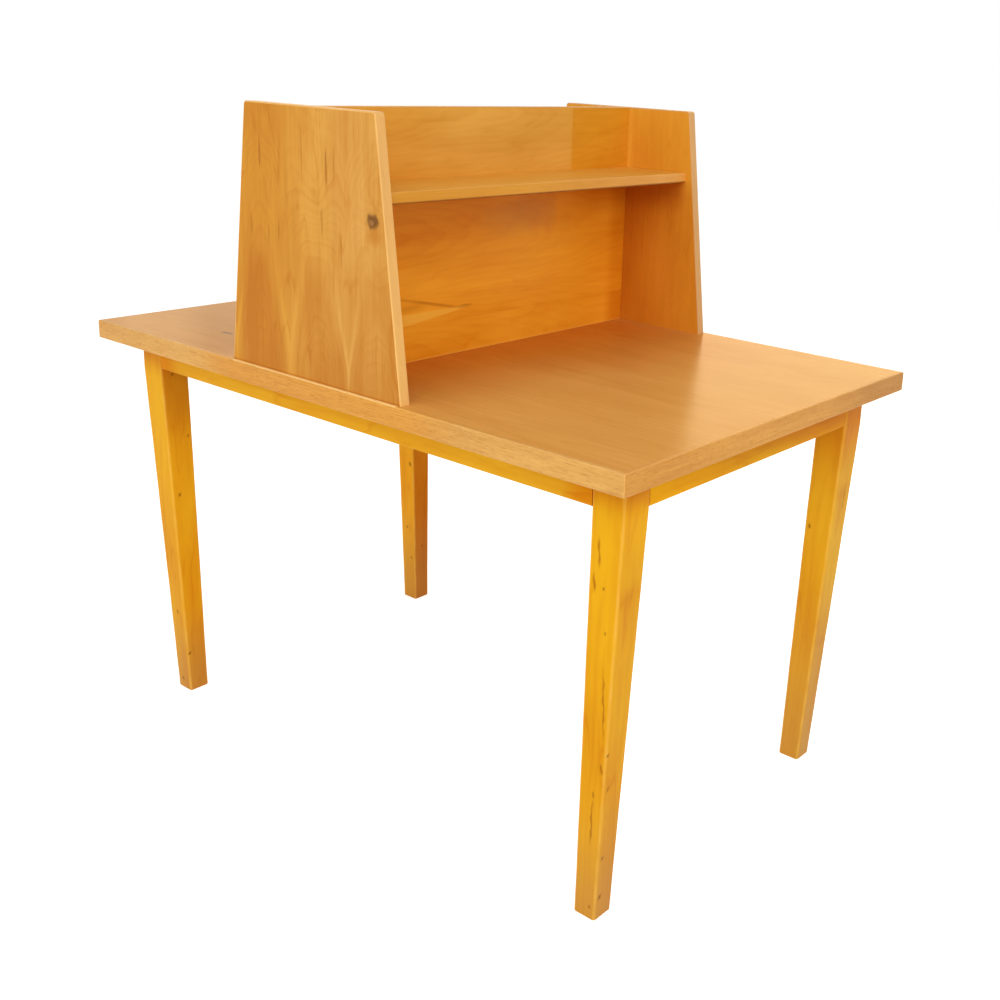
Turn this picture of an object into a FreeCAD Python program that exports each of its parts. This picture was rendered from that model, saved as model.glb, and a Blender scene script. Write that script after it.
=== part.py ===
import FreeCAD, Part
import math
import os

# A study table for two readers who face each other, with a hutch across its middle.
# Millimetres. The floor is z = 0 and the middle of the table is x = y = 0. X runs across a
# seated reader, and Y runs from the front reader's edge (-Y) to the back reader's edge (+Y).

# Table top: a veneered board with a mitred solid lipping.
table_width = 800.0
table_length = 1240.0
table_height = 750.0
top_thickness = 33.0
top_veneer_thickness = 0.6
lipping_thickness = 6.0
lipping_ease = 2.0

# Legs: a square head under the top, then a taper to the foot.
leg_head_size = 58.0
leg_head_inset_side = 60.0
leg_head_inset_end = 43.0
leg_foot_size = 41.0
leg_foot_inset = 77.0
leg_arris = 5.0
leg_foot_chamfer = 1.5
leg_taper_drop = 6.0

# Aprons, and the haunched tenons that meet in a mitre inside each leg.
apron_height = 52.0
apron_thickness = 22.0
apron_setback = 1.0
apron_ease = 2.0
tenon_thickness = 8.0
tenon_shoulder = 6.0
tenon_clearance = 0.15
haunch_height = 12.0
haunch_length = 10.0
mitre_gap = 1.0

# Corner blocks between the aprons.
block_thickness = 24.0
block_leg_gap = 1.5
block_rise = 6.0

# Buttons that hold the top down, and the groove that they hook into.
button_groove_width = 8.0
button_groove_depth = 8.0
button_groove_drop = 10.0
button_width = 28.0
button_length = 38.0
button_gap = 2.0
button_clearance = 0.2
side_button_count = 4
end_button_count = 2

# Loose tenons that join the hutch to the top and the shelves to the divider.
loose_tenon_thickness = 6.0
loose_tenon_width = 45.0
loose_tenon_bite = 24.0
loose_tenon_cover = 8.0
panel_tenon_count = 2
divider_tenon_count = 3
shelf_tenon_count = 3

# Hutch: two sloping side panels, a divider down the middle and a shelf on each side of it. It is
# made about the table's middle and stands a little behind it.
panel_thickness = 18.0
hutch_setback = 8.0
panel_inset = 6.5
panel_height = 420.0
panel_base_depth = 408.0
panel_top_depth = 304.0
panel_corner_radius = 6.0
divider_thickness = 18.0
divider_rail_height = 60.0
seam_tongue_thickness = 6.0
seam_tongue_height = 8.0
shelf_thickness = 18.0
shelf_depth = 143.0
shelf_clear_height = 288.0
band_thickness = 2.0
band_ease = 1.0
housing_depth = 6.0
housing_stop = 12.0
glue_gap = 0.1

# Heights and half sizes that several pieces share.
half_width = table_width / 2
half_length = table_length / 2
top_under = table_height - top_thickness
apron_bottom = top_under - apron_height
apron_inner_depth = apron_setback + apron_thickness
tenon_near = apron_setback + (apron_thickness - tenon_thickness) / 2
tenon_far = tenon_near + tenon_thickness
tenon_bottom = apron_bottom + tenon_shoulder
tenon_top = top_under - haunch_height
groove_top = top_under - button_groove_drop
groove_bottom = groove_top - button_groove_width
button_bottom = groove_bottom + button_clearance
hutch_top = table_height + panel_height
panel_outer = half_width - panel_inset
panel_inner = panel_outer - panel_thickness
panel_middle = panel_outer - panel_thickness / 2
divider_face = divider_thickness / 2
rail_top = table_height + divider_rail_height
shelf_bottom = table_height + shelf_clear_height
shelf_top = shelf_bottom + shelf_thickness
shelf_front = divider_face + shelf_depth
housed_half = panel_inner + housing_depth

SIDES = {"left": -1, "right": 1}
ENDS = {"front": -1, "back": 1}
OVERSHOOT = 1.0


def point(x, y, z=0.0):
    return FreeCAD.Vector(x, y, z)


def prism(outline, bottom, top):
    """Solid over a plan outline, between two heights."""
    area = sum(a.x * b.y - b.x * a.y for a, b in zip(outline, outline[1:] + outline[:1]))
    loop = outline if area > 0 else outline[::-1]
    loop = [point(p.x, p.y, bottom) for p in loop]
    return Part.Face(Part.makePolygon(loop + loop[:1])).extrude(point(0, 0, top - bottom))


def block(x_range, y_range, z_range):
    """Box between the two limits given for each axis, in either order."""
    low = point(min(x_range), min(y_range), min(z_range))
    size = [abs(limits[1] - limits[0]) for limits in (x_range, y_range, z_range)]
    return Part.makeBox(*size, low)


def ease(solid, radius, on_edge):
    """Rounds each edge whose two ends both satisfy on_edge."""
    edges = [e for e in solid.Edges if len(e.Vertexes) == 2 and all(on_edge(v.Point) for v in e.Vertexes)]
    return solid.makeFillet(radius, edges)


def near(a, b):
    return abs(a - b) < 1e-6


def cut_all(solid, tools):
    for tool in tools:
        solid = solid.cut(tool)
    return solid


def fuse_all(first, *others):
    return first.multiFuse(list(others)).removeSplitter()


def spread(length, count):
    """Positions of count things, evenly spaced along a length about its middle."""
    return [length * ((i + 0.5) / count - 0.5) for i in range(count)]


def on_top(solid):
    """Moves a piece made about the table's middle back to where the hutch stands."""
    return solid.translated(point(0, hutch_setback, 0))


# ---- Places on the frame under the top ----

def reach(run):
    """Half the distance between the outer faces of two leg heads along X or Y."""
    if run == "x":
        return half_width - leg_head_inset_side
    return half_length - leg_head_inset_end


def on_apron(run, across, position, depth):
    """Place along an apron that runs in X or Y, depth in from the plane of the leg heads."""
    if run == "x":
        return point(position, across * (reach("y") - depth))
    return point(across * (reach("x") - depth), position)


def at_corner(run, across, along, in_along, in_across):
    """Place measured inwards from the outer corner of a leg head."""
    return on_apron(run, across, along * (reach(run) - in_along), in_across)


# ---- Legs ----

def rounded_square(x, y, size, radius, z):
    """Wire of a square with round corners, as four arcs joined by four lines."""
    centre_offset = size / 2 - radius
    arcs = []
    for quarter, (sx, sy) in enumerate(((1, 1), (-1, 1), (-1, -1), (1, -1))):
        middle = point(x + sx * centre_offset, y + sy * centre_offset, z)
        turns = [math.radians(90 * quarter + part) for part in (0, 45, 90)]
        arcs.append([middle + point(radius * math.cos(t), radius * math.sin(t)) for t in turns])
    edges = []
    for this, following in zip(arcs, arcs[1:] + arcs[:1]):
        edges.append(Part.Arc(*this).toShape())
        edges.append(Part.LineSegment(this[2], following[0]).toShape())
    return Part.Wire(edges)


def leg_blank(side, end):
    """Leg before its mortises are cut, lofted through the foot and the head."""
    head = [
        side * (half_width - leg_head_inset_side - leg_head_size / 2),
        end * (half_length - leg_head_inset_end - leg_head_size / 2),
    ]
    foot = [
        side * (half_width - leg_foot_inset - leg_foot_size / 2),
        end * (half_length - leg_foot_inset - leg_foot_size / 2),
    ]
    sole = leg_foot_size - 2 * leg_foot_chamfer
    wires = [
        rounded_square(*foot, sole, leg_arris - leg_foot_chamfer, 0),
        rounded_square(*foot, leg_foot_size, leg_arris, leg_foot_chamfer),
        rounded_square(*head, leg_head_size, leg_arris, apron_bottom - leg_taper_drop),
        rounded_square(*head, leg_head_size, leg_arris, top_under),
    ]
    return Part.makeLoft(wires, True, True)


def mortise(run, across, along):
    """Hole for one tenon and, above it, the shorter slot for its haunch."""
    tight = tenon_clearance
    low = tenon_near - tight
    high = tenon_far + tight
    mouth = leg_head_size + OVERSHOOT

    def slot(depth, bottom, top):
        corners = ((depth, low), (depth, high), (mouth, high), (mouth, low))
        return prism([at_corner(run, across, along, a, b) for a, b in corners], bottom, top)

    deep = slot(low, tenon_bottom - tight, tenon_top + tight)
    haunch = slot(leg_head_size - haunch_length - tight, tenon_top, top_under + OVERSHOOT)
    return deep.fuse(haunch)


def leg(side, end):
    return cut_all(leg_blank(side, end), [mortise("x", end, side), mortise("y", side, end)])


# ---- Aprons ----

def tenon(run, across, along):
    """Tenon with a mitred end, and the haunch that keeps the apron's top edge straight."""
    def tongue(near_end, far_end, bottom, top):
        root = leg_head_size
        corners = ((root, tenon_near), (root, tenon_far), (far_end, tenon_far), (near_end, tenon_near))
        return prism([at_corner(run, across, along, a, b) for a, b in corners], bottom, top)

    long_part = tongue(tenon_near + mitre_gap, tenon_far + mitre_gap, tenon_bottom, tenon_top)
    short = leg_head_size - haunch_length
    return [long_part, tongue(short, short, tenon_top, top_under)]


def apron_strip(run, across, depths, heights):
    """Bar along the whole clear length of an apron, between two depths and two heights."""
    half = reach(run) - leg_head_size
    places = ((-half, depths[0]), (half, depths[0]), (half, depths[1]), (-half, depths[1]))
    return prism([on_apron(run, across, p, d) for p, d in places], *heights)


def apron(run, across):
    body = apron_strip(run, across, (apron_setback, apron_inner_depth), (apron_bottom, top_under))
    outer = on_apron(run, across, 0, apron_setback)

    def on_lower_arris(p):
        offset = p.y - outer.y if run == "x" else p.x - outer.x
        return near(p.z, apron_bottom) and near(offset, 0)

    body = ease(body, apron_ease, on_lower_arris)
    groove_depths = (apron_inner_depth - button_groove_depth, apron_inner_depth + OVERSHOOT)
    body = body.cut(apron_strip(run, across, groove_depths, (groove_bottom, groove_top)))
    return fuse_all(body, *tenon(run, across, -1), *tenon(run, across, 1))


# ---- Corner blocks ----

def corner_block(side, end):
    """Block across a corner, glued to both aprons just clear of the leg."""
    leg_side = 2 * leg_head_size + block_leg_gap * math.sqrt(2)
    room_side = leg_side + block_thickness * math.sqrt(2)
    face = apron_inner_depth
    near_leg = leg_side - face
    in_room = room_side - face
    outline = ((face, near_leg), (face, in_room), (in_room, face), (near_leg, face))
    places = [at_corner("x", end, side, a, b) for a, b in outline]
    return prism(places, apron_bottom + block_rise, top_under)


# ---- Buttons under the top ----

def button_places():
    places = []
    for across in (-1, 1):
        for run, count in (("y", side_button_count), ("x", end_button_count)):
            clear = 2 * (reach(run) - leg_head_size)
            places += [(run, across, position) for position in spread(clear, count)]
    return places


def button(run, across, position):
    """Block under the top, with a tongue in the apron's groove."""
    def bar(depths, heights):
        half = button_width / 2
        corners = ((-half, depths[0]), (half, depths[0]), (half, depths[1]), (-half, depths[1]))
        return prism([on_apron(run, across, position + p, d) for p, d in corners], *heights)

    body_start = apron_inner_depth + button_gap
    tongue_start = apron_inner_depth - button_groove_depth + button_gap
    body = bar((body_start, body_start + button_length), (button_bottom, top_under))
    tongue = bar((tongue_start, body_start), (button_bottom, groove_top - button_clearance))
    return fuse_all(body, tongue)


# ---- Loose tenons ----

def hutch_tenons(clearance=0.0):
    """Tenons up from the top into the side panels and the divider, or the mortises that fit them."""
    thick = loose_tenon_thickness / 2 + clearance
    wide = loose_tenon_width / 2 + clearance
    heights = (top_under + loose_tenon_cover - clearance, table_height + loose_tenon_bite + clearance)
    tenons = []
    for middle in (-panel_middle, panel_middle):
        for y in spread(panel_base_depth, panel_tenon_count):
            tenons.append(block((middle - thick, middle + thick), (y - wide, y + wide), heights))
    for x in spread(2 * panel_inner, divider_tenon_count):
        tenons.append(block((x - wide, x + wide), (-thick, thick), heights))
    return tenons


def shelf_tenons(clearance=0.0):
    """Tenons through the divider and into both shelves, or the mortises that fit them."""
    thick = loose_tenon_thickness / 2 + clearance
    wide = loose_tenon_width / 2 + clearance
    half = divider_face + loose_tenon_bite + clearance
    middle = (shelf_bottom + shelf_top) / 2
    heights = (middle - thick, middle + thick)
    places = spread(2 * panel_inner, shelf_tenon_count)
    return [block((x - wide, x + wide), (-half, half), heights) for x in places]


# ---- Table top ----

def top_layer(bottom, top):
    """One layer of the top inside the lipping, mortised as far as the hutch's tenons reach."""
    x = half_width - lipping_thickness
    y = half_length - lipping_thickness
    return cut_all(block((-x, x), (-y, y), (bottom, top)), [on_top(t) for t in hutch_tenons(glue_gap)])


def lipping_frame():
    """All four lippings in one piece, with every outer arris eased."""
    outer = block((-half_width, half_width), (-half_length, half_length), (top_under, table_height))
    outer = outer.makeFillet(lipping_ease, outer.Edges)
    x = half_width - lipping_thickness
    y = half_length - lipping_thickness
    return outer.cut(block((-x, x), (-y, y), (top_under - OVERSHOOT, table_height + OVERSHOOT)))


def lipping(run, across):
    """One side of the lipping frame, cut off at 45 degrees at both ends."""
    deep = lipping_thickness + OVERSHOOT
    half, other = (half_width, half_length) if run == "x" else (half_length, half_width)
    corners = ((-half, other), (half, other), (half - deep, other - deep), (deep - half, other - deep))
    outline = [point(a, across * b) if run == "x" else point(across * b, a) for a, b in corners]
    return lipping_frame().common(prism(outline, top_under - OVERSHOOT, table_height + OVERSHOOT))


# ---- Hutch ----

def trapezoid(offset, corner_radius):
    """Side panel's shape with its sloping and top edges brought in by offset."""
    slope = (panel_base_depth - panel_top_depth) / 2 / panel_height
    sideways = offset * math.sqrt(1 + slope * slope)
    top = hutch_top - offset
    base_half = panel_base_depth / 2 - sideways
    top_half = base_half - slope * (top - table_height)
    corners = ((-base_half, table_height), (base_half, table_height), (top_half, top), (-top_half, top))
    loop = [point(0, y, z) for y, z in corners]
    solid = Part.Face(Part.makePolygon(loop + loop[:1])).extrude(point(panel_thickness, 0, 0))

    def across_top(edge):
        ends = [v.Point for v in edge.Vertexes]
        return all(near(p.z, top) for p in ends) and near(ends[0].y, ends[1].y)

    return solid.makeFillet(corner_radius, [e for e in solid.Edges if across_top(e)])


def placed_panel(solid, side):
    """Moves a panel made at x = 0 to its side of the hutch."""
    return solid.translated(point(panel_inner if side > 0 else -panel_outer, 0, 0))


def housings():
    """Recesses in the inner faces of both side panels for the divider and the shelves."""
    reach_in = housed_half + glue_gap
    face = divider_face + glue_gap
    span = (-reach_in, reach_in)
    divider = block(span, (-face, face), (table_height - OVERSHOOT, hutch_top - housing_stop + glue_gap))
    stop = shelf_front - housing_stop + glue_gap
    heights = (shelf_bottom - glue_gap, shelf_top + glue_gap)
    return divider.fuse(block(span, (-stop, stop), heights))


def side_panel(side):
    core = trapezoid(band_thickness, panel_corner_radius - band_thickness)
    return cut_all(placed_panel(core, side), [housings()] + hutch_tenons(glue_gap))


def panel_band(side):
    """One strip bent round the two slopes and the top of a side panel."""
    whole = trapezoid(0, panel_corner_radius)
    arrises = [
        e for e in whole.Edges
        if near(*[v.Point.x for v in e.Vertexes]) and e.BoundBox.ZMax > table_height + OVERSHOOT
    ]
    whole = whole.makeChamfer(band_ease, arrises)
    core = trapezoid(band_thickness, panel_corner_radius - band_thickness)
    return placed_panel(whole.cut(core), side)


def divider_lower_rail():
    """Rail on the table top, with a tongue along its upper edge."""
    faces = (-divider_face, divider_face)
    body = block((-housed_half, housed_half), faces, (table_height, rail_top))
    half = seam_tongue_thickness / 2
    tongue = block((-housed_half, housed_half), (-half, half), (rail_top, rail_top + seam_tongue_height))
    return cut_all(fuse_all(body, tongue), hutch_tenons(glue_gap))


def divider_upper_board():
    """Board above the rail, grooved for the rail's tongue and housed in the side panels."""
    faces = (-divider_face, divider_face)
    between = block((-panel_inner, panel_inner), faces, (rail_top, hutch_top - band_thickness))
    housed = block((-housed_half, housed_half), faces, (rail_top, hutch_top - housing_stop))
    half = seam_tongue_thickness / 2 + glue_gap
    long = housed_half + OVERSHOOT
    groove_end = rail_top + seam_tongue_height + glue_gap
    groove = block((-long, long), (-half, half), (rail_top - OVERSHOOT, groove_end))
    return cut_all(fuse_all(between, housed), [groove] + shelf_tenons(glue_gap))


def ease_long_edges(solid, on_face):
    """Chamfers the edges along X whose two ends both satisfy on_face."""
    along = [e for e in solid.Edges if near(e.BoundBox.YLength, 0) and near(e.BoundBox.ZLength, 0)]
    return solid.makeChamfer(band_ease, [e for e in along if on_face(e.Vertexes[0].Point)])


def divider_top_band():
    z_range = (hutch_top - band_thickness, hutch_top)
    solid = block((-panel_inner, panel_inner), (-divider_face, divider_face), z_range)
    return ease_long_edges(solid, lambda p: near(p.z, hutch_top))


def shelf(end):
    """Shelf housed in both side panels and tenoned to the divider."""
    z_range = (shelf_bottom, shelf_top)
    front = shelf_front - band_thickness
    board = block((-panel_inner, panel_inner), (end * divider_face, end * front), z_range)
    stop = shelf_front - housing_stop
    housed = block((-housed_half, housed_half), (end * divider_face, end * stop), z_range)
    return cut_all(fuse_all(board, housed), shelf_tenons(glue_gap))


def shelf_band(end):
    outer = end * shelf_front
    y_range = (end * (shelf_front - band_thickness), outer)
    solid = block((-panel_inner, panel_inner), y_range, (shelf_bottom, shelf_top))
    return ease_long_edges(solid, lambda p: near(p.y, outer))


# ---- The whole table ----

def table_nodes():
    veneer = top_veneer_thickness
    nodes = {
        "top_core": top_layer(top_under + veneer, table_height - veneer),
        "top_face_veneer": top_layer(table_height - veneer, table_height),
        "top_backing_veneer": top_layer(top_under, top_under + veneer),
    }
    for name, side in SIDES.items():
        nodes[f"lipping_{name}"] = lipping("y", side)
        nodes[f"apron_{name}"] = apron("y", side)
    for name, end in ENDS.items():
        nodes[f"lipping_{name}"] = lipping("x", end)
        nodes[f"apron_{name}"] = apron("x", end)
    for end_name, end in ENDS.items():
        for side_name, side in SIDES.items():
            nodes[f"leg_{end_name}_{side_name}"] = leg(side, end)
            nodes[f"corner_block_{end_name}_{side_name}"] = corner_block(side, end)
    return nodes


def fixing_nodes():
    return {
        "top_buttons": Part.makeCompound([button(*place) for place in button_places()]),
        "hutch_tenons": on_top(Part.makeCompound(hutch_tenons())),
        "shelf_tenons": on_top(Part.makeCompound(shelf_tenons())),
    }


def hutch_nodes():
    nodes = {
        "divider_lower_rail": divider_lower_rail(),
        "divider_upper_board": divider_upper_board(),
        "divider_top_band": divider_top_band(),
    }
    for name, side in SIDES.items():
        nodes[f"side_panel_{name}"] = side_panel(side)
        nodes[f"side_panel_band_{name}"] = panel_band(side)
    for name, end in ENDS.items():
        nodes[f"shelf_{name}"] = shelf(end)
        nodes[f"shelf_band_{name}"] = shelf_band(end)
    return {name: on_top(shape) for name, shape in nodes.items()}


def main():
    os.makedirs("parts", exist_ok=True)
    for nodes in (table_nodes(), fixing_nodes(), hutch_nodes()):
        for name, shape in nodes.items():
            shape.exportStep(f"parts/{name}.step")


main()
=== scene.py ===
"""Study table for two readers who face each other, with a double-sided hutch across its middle.

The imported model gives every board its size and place. This add-on gives the boards their wood,
planes the four legs as smooth surfaces of their own, adds the screws under the top and sets up
a plain studio. Everything is in metres, in the model's own frame.
"""
import math

import bpy
import numpy as np
from bpy.props import FloatProperty, FloatVectorProperty, PointerProperty
from bpy.types import Operator, Panel, PropertyGroup
from mathutils import Matrix, Vector


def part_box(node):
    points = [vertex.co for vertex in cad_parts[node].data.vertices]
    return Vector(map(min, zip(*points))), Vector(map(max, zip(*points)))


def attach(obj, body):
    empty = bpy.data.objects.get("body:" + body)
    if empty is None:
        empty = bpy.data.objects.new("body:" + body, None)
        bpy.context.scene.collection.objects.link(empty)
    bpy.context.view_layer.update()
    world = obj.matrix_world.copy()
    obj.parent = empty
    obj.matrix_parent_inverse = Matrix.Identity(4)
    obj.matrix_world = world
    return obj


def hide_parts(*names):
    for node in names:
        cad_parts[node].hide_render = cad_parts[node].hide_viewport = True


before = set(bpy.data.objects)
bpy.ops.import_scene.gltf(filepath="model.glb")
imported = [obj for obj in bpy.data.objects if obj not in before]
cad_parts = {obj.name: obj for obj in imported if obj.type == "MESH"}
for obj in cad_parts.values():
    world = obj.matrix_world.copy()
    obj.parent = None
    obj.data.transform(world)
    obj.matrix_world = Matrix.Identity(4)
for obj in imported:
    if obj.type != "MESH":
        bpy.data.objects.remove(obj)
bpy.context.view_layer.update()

bl_info = {
    "name": "Study table with hutch",
    "version": (1, 0, 0),
    "blender": (4, 5, 0),
    "location": "View3D > Sidebar > Study table",
    "description": "Wood, legs, screws and studio for a study table with a hutch",
    "category": "Object",
}

BODY = "root"
SIDES = {"left": -1, "right": 1}
ENDS = {"front": -1, "back": 1}
MM = 0.001
ORIGIN = (0.0, 0.0, 0.0)


# ---- Settings that a user would change ----

def colour(name, description, default):
    """Colour setting, with a default in linear red, green and blue."""
    return FloatVectorProperty(
        name=name, description=description, default=default, subtype="COLOR", min=0.0, max=1.0, size=3
    )


def length(name, description, default):
    """Length setting, with a default in metres."""
    return FloatProperty(name=name, description=description, default=default, unit="LENGTH")


def angle(name, description, default):
    """Angle setting, with a default in radians."""
    return FloatProperty(name=name, description=description, default=default, subtype="ANGLE")


def power(name, description, default):
    """Power of a light, with a default in watts."""
    return FloatProperty(name=name, description=description, default=default, min=0.0, unit="POWER")


class WoodSettings(PropertyGroup):
    """Colours and sheen of the woods: pale is the early wood and deep the late wood."""

    top_pale: colour("Top, pale", "Face veneer of the top", (0.77, 0.392, 0.099))
    top_deep: colour("Top, deep", "Face veneer of the top", (0.60, 0.250, 0.044))
    lipping_pale: colour("Lipping, pale", "Flecks of the lipping", (0.77, 0.425, 0.115))
    lipping_deep: colour("Lipping, deep", "Dashes of the lipping", (0.52, 0.220, 0.036))
    pine_pale: colour("Pine, pale", "Stained legs and aprons", (0.83, 0.42, 0.008))
    pine_deep: colour("Pine, deep", "Stained legs and aprons", (0.68, 0.245, 0.003))
    panel_pale: colour("Left panel, pale", "Left side panel", (0.68, 0.338, 0.064))
    panel_deep: colour("Left panel, deep", "Left side panel", (0.515, 0.180, 0.011))
    inner_pale: colour("Right panel, pale", "Right side panel", (0.85, 0.405, 0.040))
    inner_deep: colour("Right panel, deep", "Right side panel", (0.68, 0.245, 0.012))
    divider_pale: colour("Divider, pale", "Divider of the hutch", (0.95, 0.405, 0.025))
    divider_deep: colour("Divider, deep", "Divider of the hutch", (0.78, 0.250, 0.006))
    shelf_pale: colour("Shelf, pale", "Shelves", (0.83, 0.405, 0.062))
    shelf_deep: colour("Shelf, deep", "Shelves", (0.65, 0.265, 0.020))
    band_pale: colour("Edge strip, pale", "Strips on the hutch's edges", (0.79, 0.405, 0.090))
    band_deep: colour("Edge strip, deep", "Strips on the hutch's edges", (0.62, 0.270, 0.038))
    bare_pale: colour("Bare wood, pale", "Blocks under the top", (0.72, 0.47, 0.22))
    bare_deep: colour("Bare wood, deep", "Blocks under the top", (0.52, 0.29, 0.11))
    sheen: FloatProperty(
        name="Roughness", description="Roughness of the satin lacquer", default=0.34, min=0.05, max=1.0
    )

    def pair(self, wood):
        """Pale and deep colour of a wood."""
        return getattr(self, f"{wood}_pale"), getattr(self, f"{wood}_deep")


class ShapeSettings(PropertyGroup):
    """Sizes of what is made here and not read from the model."""

    leg_arris: length("Leg arris", "Radius of a leg's long edges", 5 * MM)
    foot_chamfer: length("Foot chamfer", "Chamfer round the sole of a leg", 1.5 * MM)
    foot_size: length("Foot size", "Width of a leg at the floor", 41 * MM)
    foot_lean: length("Foot lean", "Foot's outer side in from its head's, along the table", 34 * MM)
    foot_draw: length("Foot draw", "Foot's outer side in from its head's, across the table", 17 * MM)
    taper_drop: length("Taper drop", "Start of the taper below the apron's lower edge", 6 * MM)
    screw_head: length("Screw head", "Diameter of a screw's head", 8.5 * MM)
    edge_softness: length("Edge softness", "Width of the eased edges on plain boards", 0.7 * MM)


class StudioSettings(PropertyGroup):
    """Camera and light."""

    camera_place: FloatVectorProperty(
        name="Camera place", description="Where the camera stands", default=(-1.58289, -1.51373, 1.25075),
        subtype="TRANSLATION", unit="LENGTH", size=3,
    )
    heading: angle("Heading", "Camera's turn from +Y towards +X", 0.91962)
    dip: angle("Dip", "Camera's tilt down from level", 0.26798)
    roll: angle("Roll", "Camera's turn about its own line of sight", 0.04710)
    focal_length: FloatProperty(
        name="Focal length", description="Lens on a 36 mm sensor, in millimetres", default=44.441, min=10.0
    )
    shift_across: FloatProperty(name="Shift across", description="Lens shift to the right", default=-0.12371)
    shift_up: FloatProperty(name="Shift up", description="Lens shift upwards", default=-0.09674)
    surround: FloatProperty(
        name="Surround", description="Light from the white studio on every side", default=0.44, min=0.0
    )
    key_power: power("Key light", "Large soft light over the left", 41.0)
    fill_power: power("Fill light", "Soft light in front", 35.0)
    side_power: power("Side light", "Low soft light on the left", 31.0)
    window_power: power("Window light", "Warm light on the right, which the top reflects", 32.0)
    window_colour: colour("Window colour", "Colour of the warm lights", (1.0, 0.66, 0.22))


# ---- Node wiring ----

def blank_material(name):
    """New material without nodes."""
    material = bpy.data.materials.new(name)
    material.use_nodes = True
    material.node_tree.nodes.clear()
    return material


def rgba(value):
    """Colour with its alpha, or a socket as it is."""
    return value if isinstance(value, bpy.types.NodeSocket) else (*value, 1.0)


class Wiring:
    """Adds nodes to one tree and joins them, so that a shader reads like a formula."""

    def __init__(self, tree):
        self.tree = tree

    def node(self, kind, *values, **settings):
        """New node with its settings, and a link or a constant in each of its first inputs."""
        made = self.tree.nodes.new(kind)
        for name, value in settings.items():
            setattr(made, name, value)
        for socket, value in zip(made.inputs, values):
            self.join(value, socket)
        return made

    def join(self, value, socket):
        """Link from a socket, or a constant, into a socket."""
        if isinstance(value, bpy.types.NodeSocket):
            self.tree.links.new(value, socket)
        else:
            socket.default_value = value

    def math(self, operation, *values):
        return self.node("ShaderNodeMath", *values, operation=operation).outputs[0]

    def times(self, value, *others):
        for other in others:
            value = self.math("MULTIPLY", value, other)
        return value

    def plus(self, value, *others):
        for other in others:
            value = self.math("ADD", value, other)
        return value

    def minus(self, value, other):
        return self.math("SUBTRACT", value, other)

    def size(self, value):
        return self.math("ABSOLUTE", value)

    def hypotenuse(self, a, b):
        return self.math("SQRT", self.plus(self.times(a, a), self.times(b, b)))

    def vector(self, operation, *values):
        return self.node("ShaderNodeVectorMath", *values, operation=operation).outputs[0]

    def reach(self, vector):
        return self.node("ShaderNodeVectorMath", vector, operation="LENGTH").outputs["Value"]

    def split(self, vector):
        return self.node("ShaderNodeSeparateXYZ", vector).outputs

    def combined(self, x, y, z):
        return self.node("ShaderNodeCombineXYZ", x, y, z).outputs[0]

    def noise(self, vector, bump=(1.0, 1.0, 1.0), detail=2.0, roughness=0.5):
        """Noise with a bump of a size on each axis: a value, and a colour with three more."""
        made = self.node("ShaderNodeTexNoise", noise_dimensions="3D")
        place = self.vector("DIVIDE", vector, bump)
        for name, value in {"Vector": place, "Scale": 1.0, "Detail": detail, "Roughness": roughness}.items():
            self.join(value, made.inputs[name])
        return made.outputs

    def rise(self, value, start, stop, low=0.0, high=1.0):
        """Smooth change from low to high while value goes from start to stop."""
        made = self.node(
            "ShaderNodeMapRange", value, start, stop, low, high, interpolation_type="SMOOTHSTEP"
        )
        return made.outputs[0]

    def fall(self, value, start, stop, high=1.0, low=0.0):
        """Smooth change from high to low while value goes from start to stop."""
        return self.rise(value, start, stop, high, low)

    def mix(self, factor, a, b, kind="MIX"):
        """One colour changed to another by a factor."""
        made = self.node("ShaderNodeMix", data_type="RGBA", blend_type=kind, clamp_factor=True)
        for place, value in zip((0, 6, 7), (factor, a, b)):
            self.join(value, made.inputs[place])
        return made.outputs[2]

    def blend(self, factor, woods, others):
        """Pale and deep colour of a wood changed to two others by a factor."""
        return [self.mix(factor, rgba(wood), rgba(other)) for wood, other in zip(woods, others)]

    def group(self, tree, given=(), **values):
        """Node group whose inputs take the given sockets of their names, and then the values.

        A value goes by its input's name in small letters with underscores.
        """
        made = self.node("ShaderNodeGroup", node_tree=tree)
        for socket in given:
            if socket.name in made.inputs:
                self.join(socket, made.inputs[socket.name])
        for name, value in values.items():
            self.join(value, made.inputs[name.replace("_", " ").capitalize()])
        return made.outputs

    def surface(self, values):
        """Principled surface of a material, with values by its inputs' names."""
        shader = self.node("ShaderNodeBsdfPrincipled")
        for name, value in values.items():
            self.join(value, shader.inputs[name])
        self.join(shader.outputs[0], self.node("ShaderNodeOutputMaterial").inputs["Surface"])


def new_group(name, inputs, outputs):
    """Empty node group: its wiring, its inputs by name and its output node.

    An input's default of three numbers makes a vector, and one of four a colour.
    """
    kinds = {1: "NodeSocketFloat", 3: "NodeSocketVector", 4: "NodeSocketColor"}
    tree = bpy.data.node_groups.new(name, "ShaderNodeTree")
    for label, default in inputs.items():
        kind = kinds[len(default) if isinstance(default, tuple) else 1]
        socket = tree.interface.new_socket(name=label, in_out="INPUT", socket_type=kind)
        socket.default_value = default
    for label in outputs:
        kind = kinds[4 if label == "Colour" else 1]
        tree.interface.new_socket(name=label, in_out="OUTPUT", socket_type=kind)
    wiring = Wiring(tree)
    given = wiring.node("NodeGroupInput").outputs
    return wiring, given, wiring.node("NodeGroupOutput").inputs


# ---- Wood, as node groups ----

MIDDLE_GREY = (0.5, 0.5, 0.5)


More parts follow.
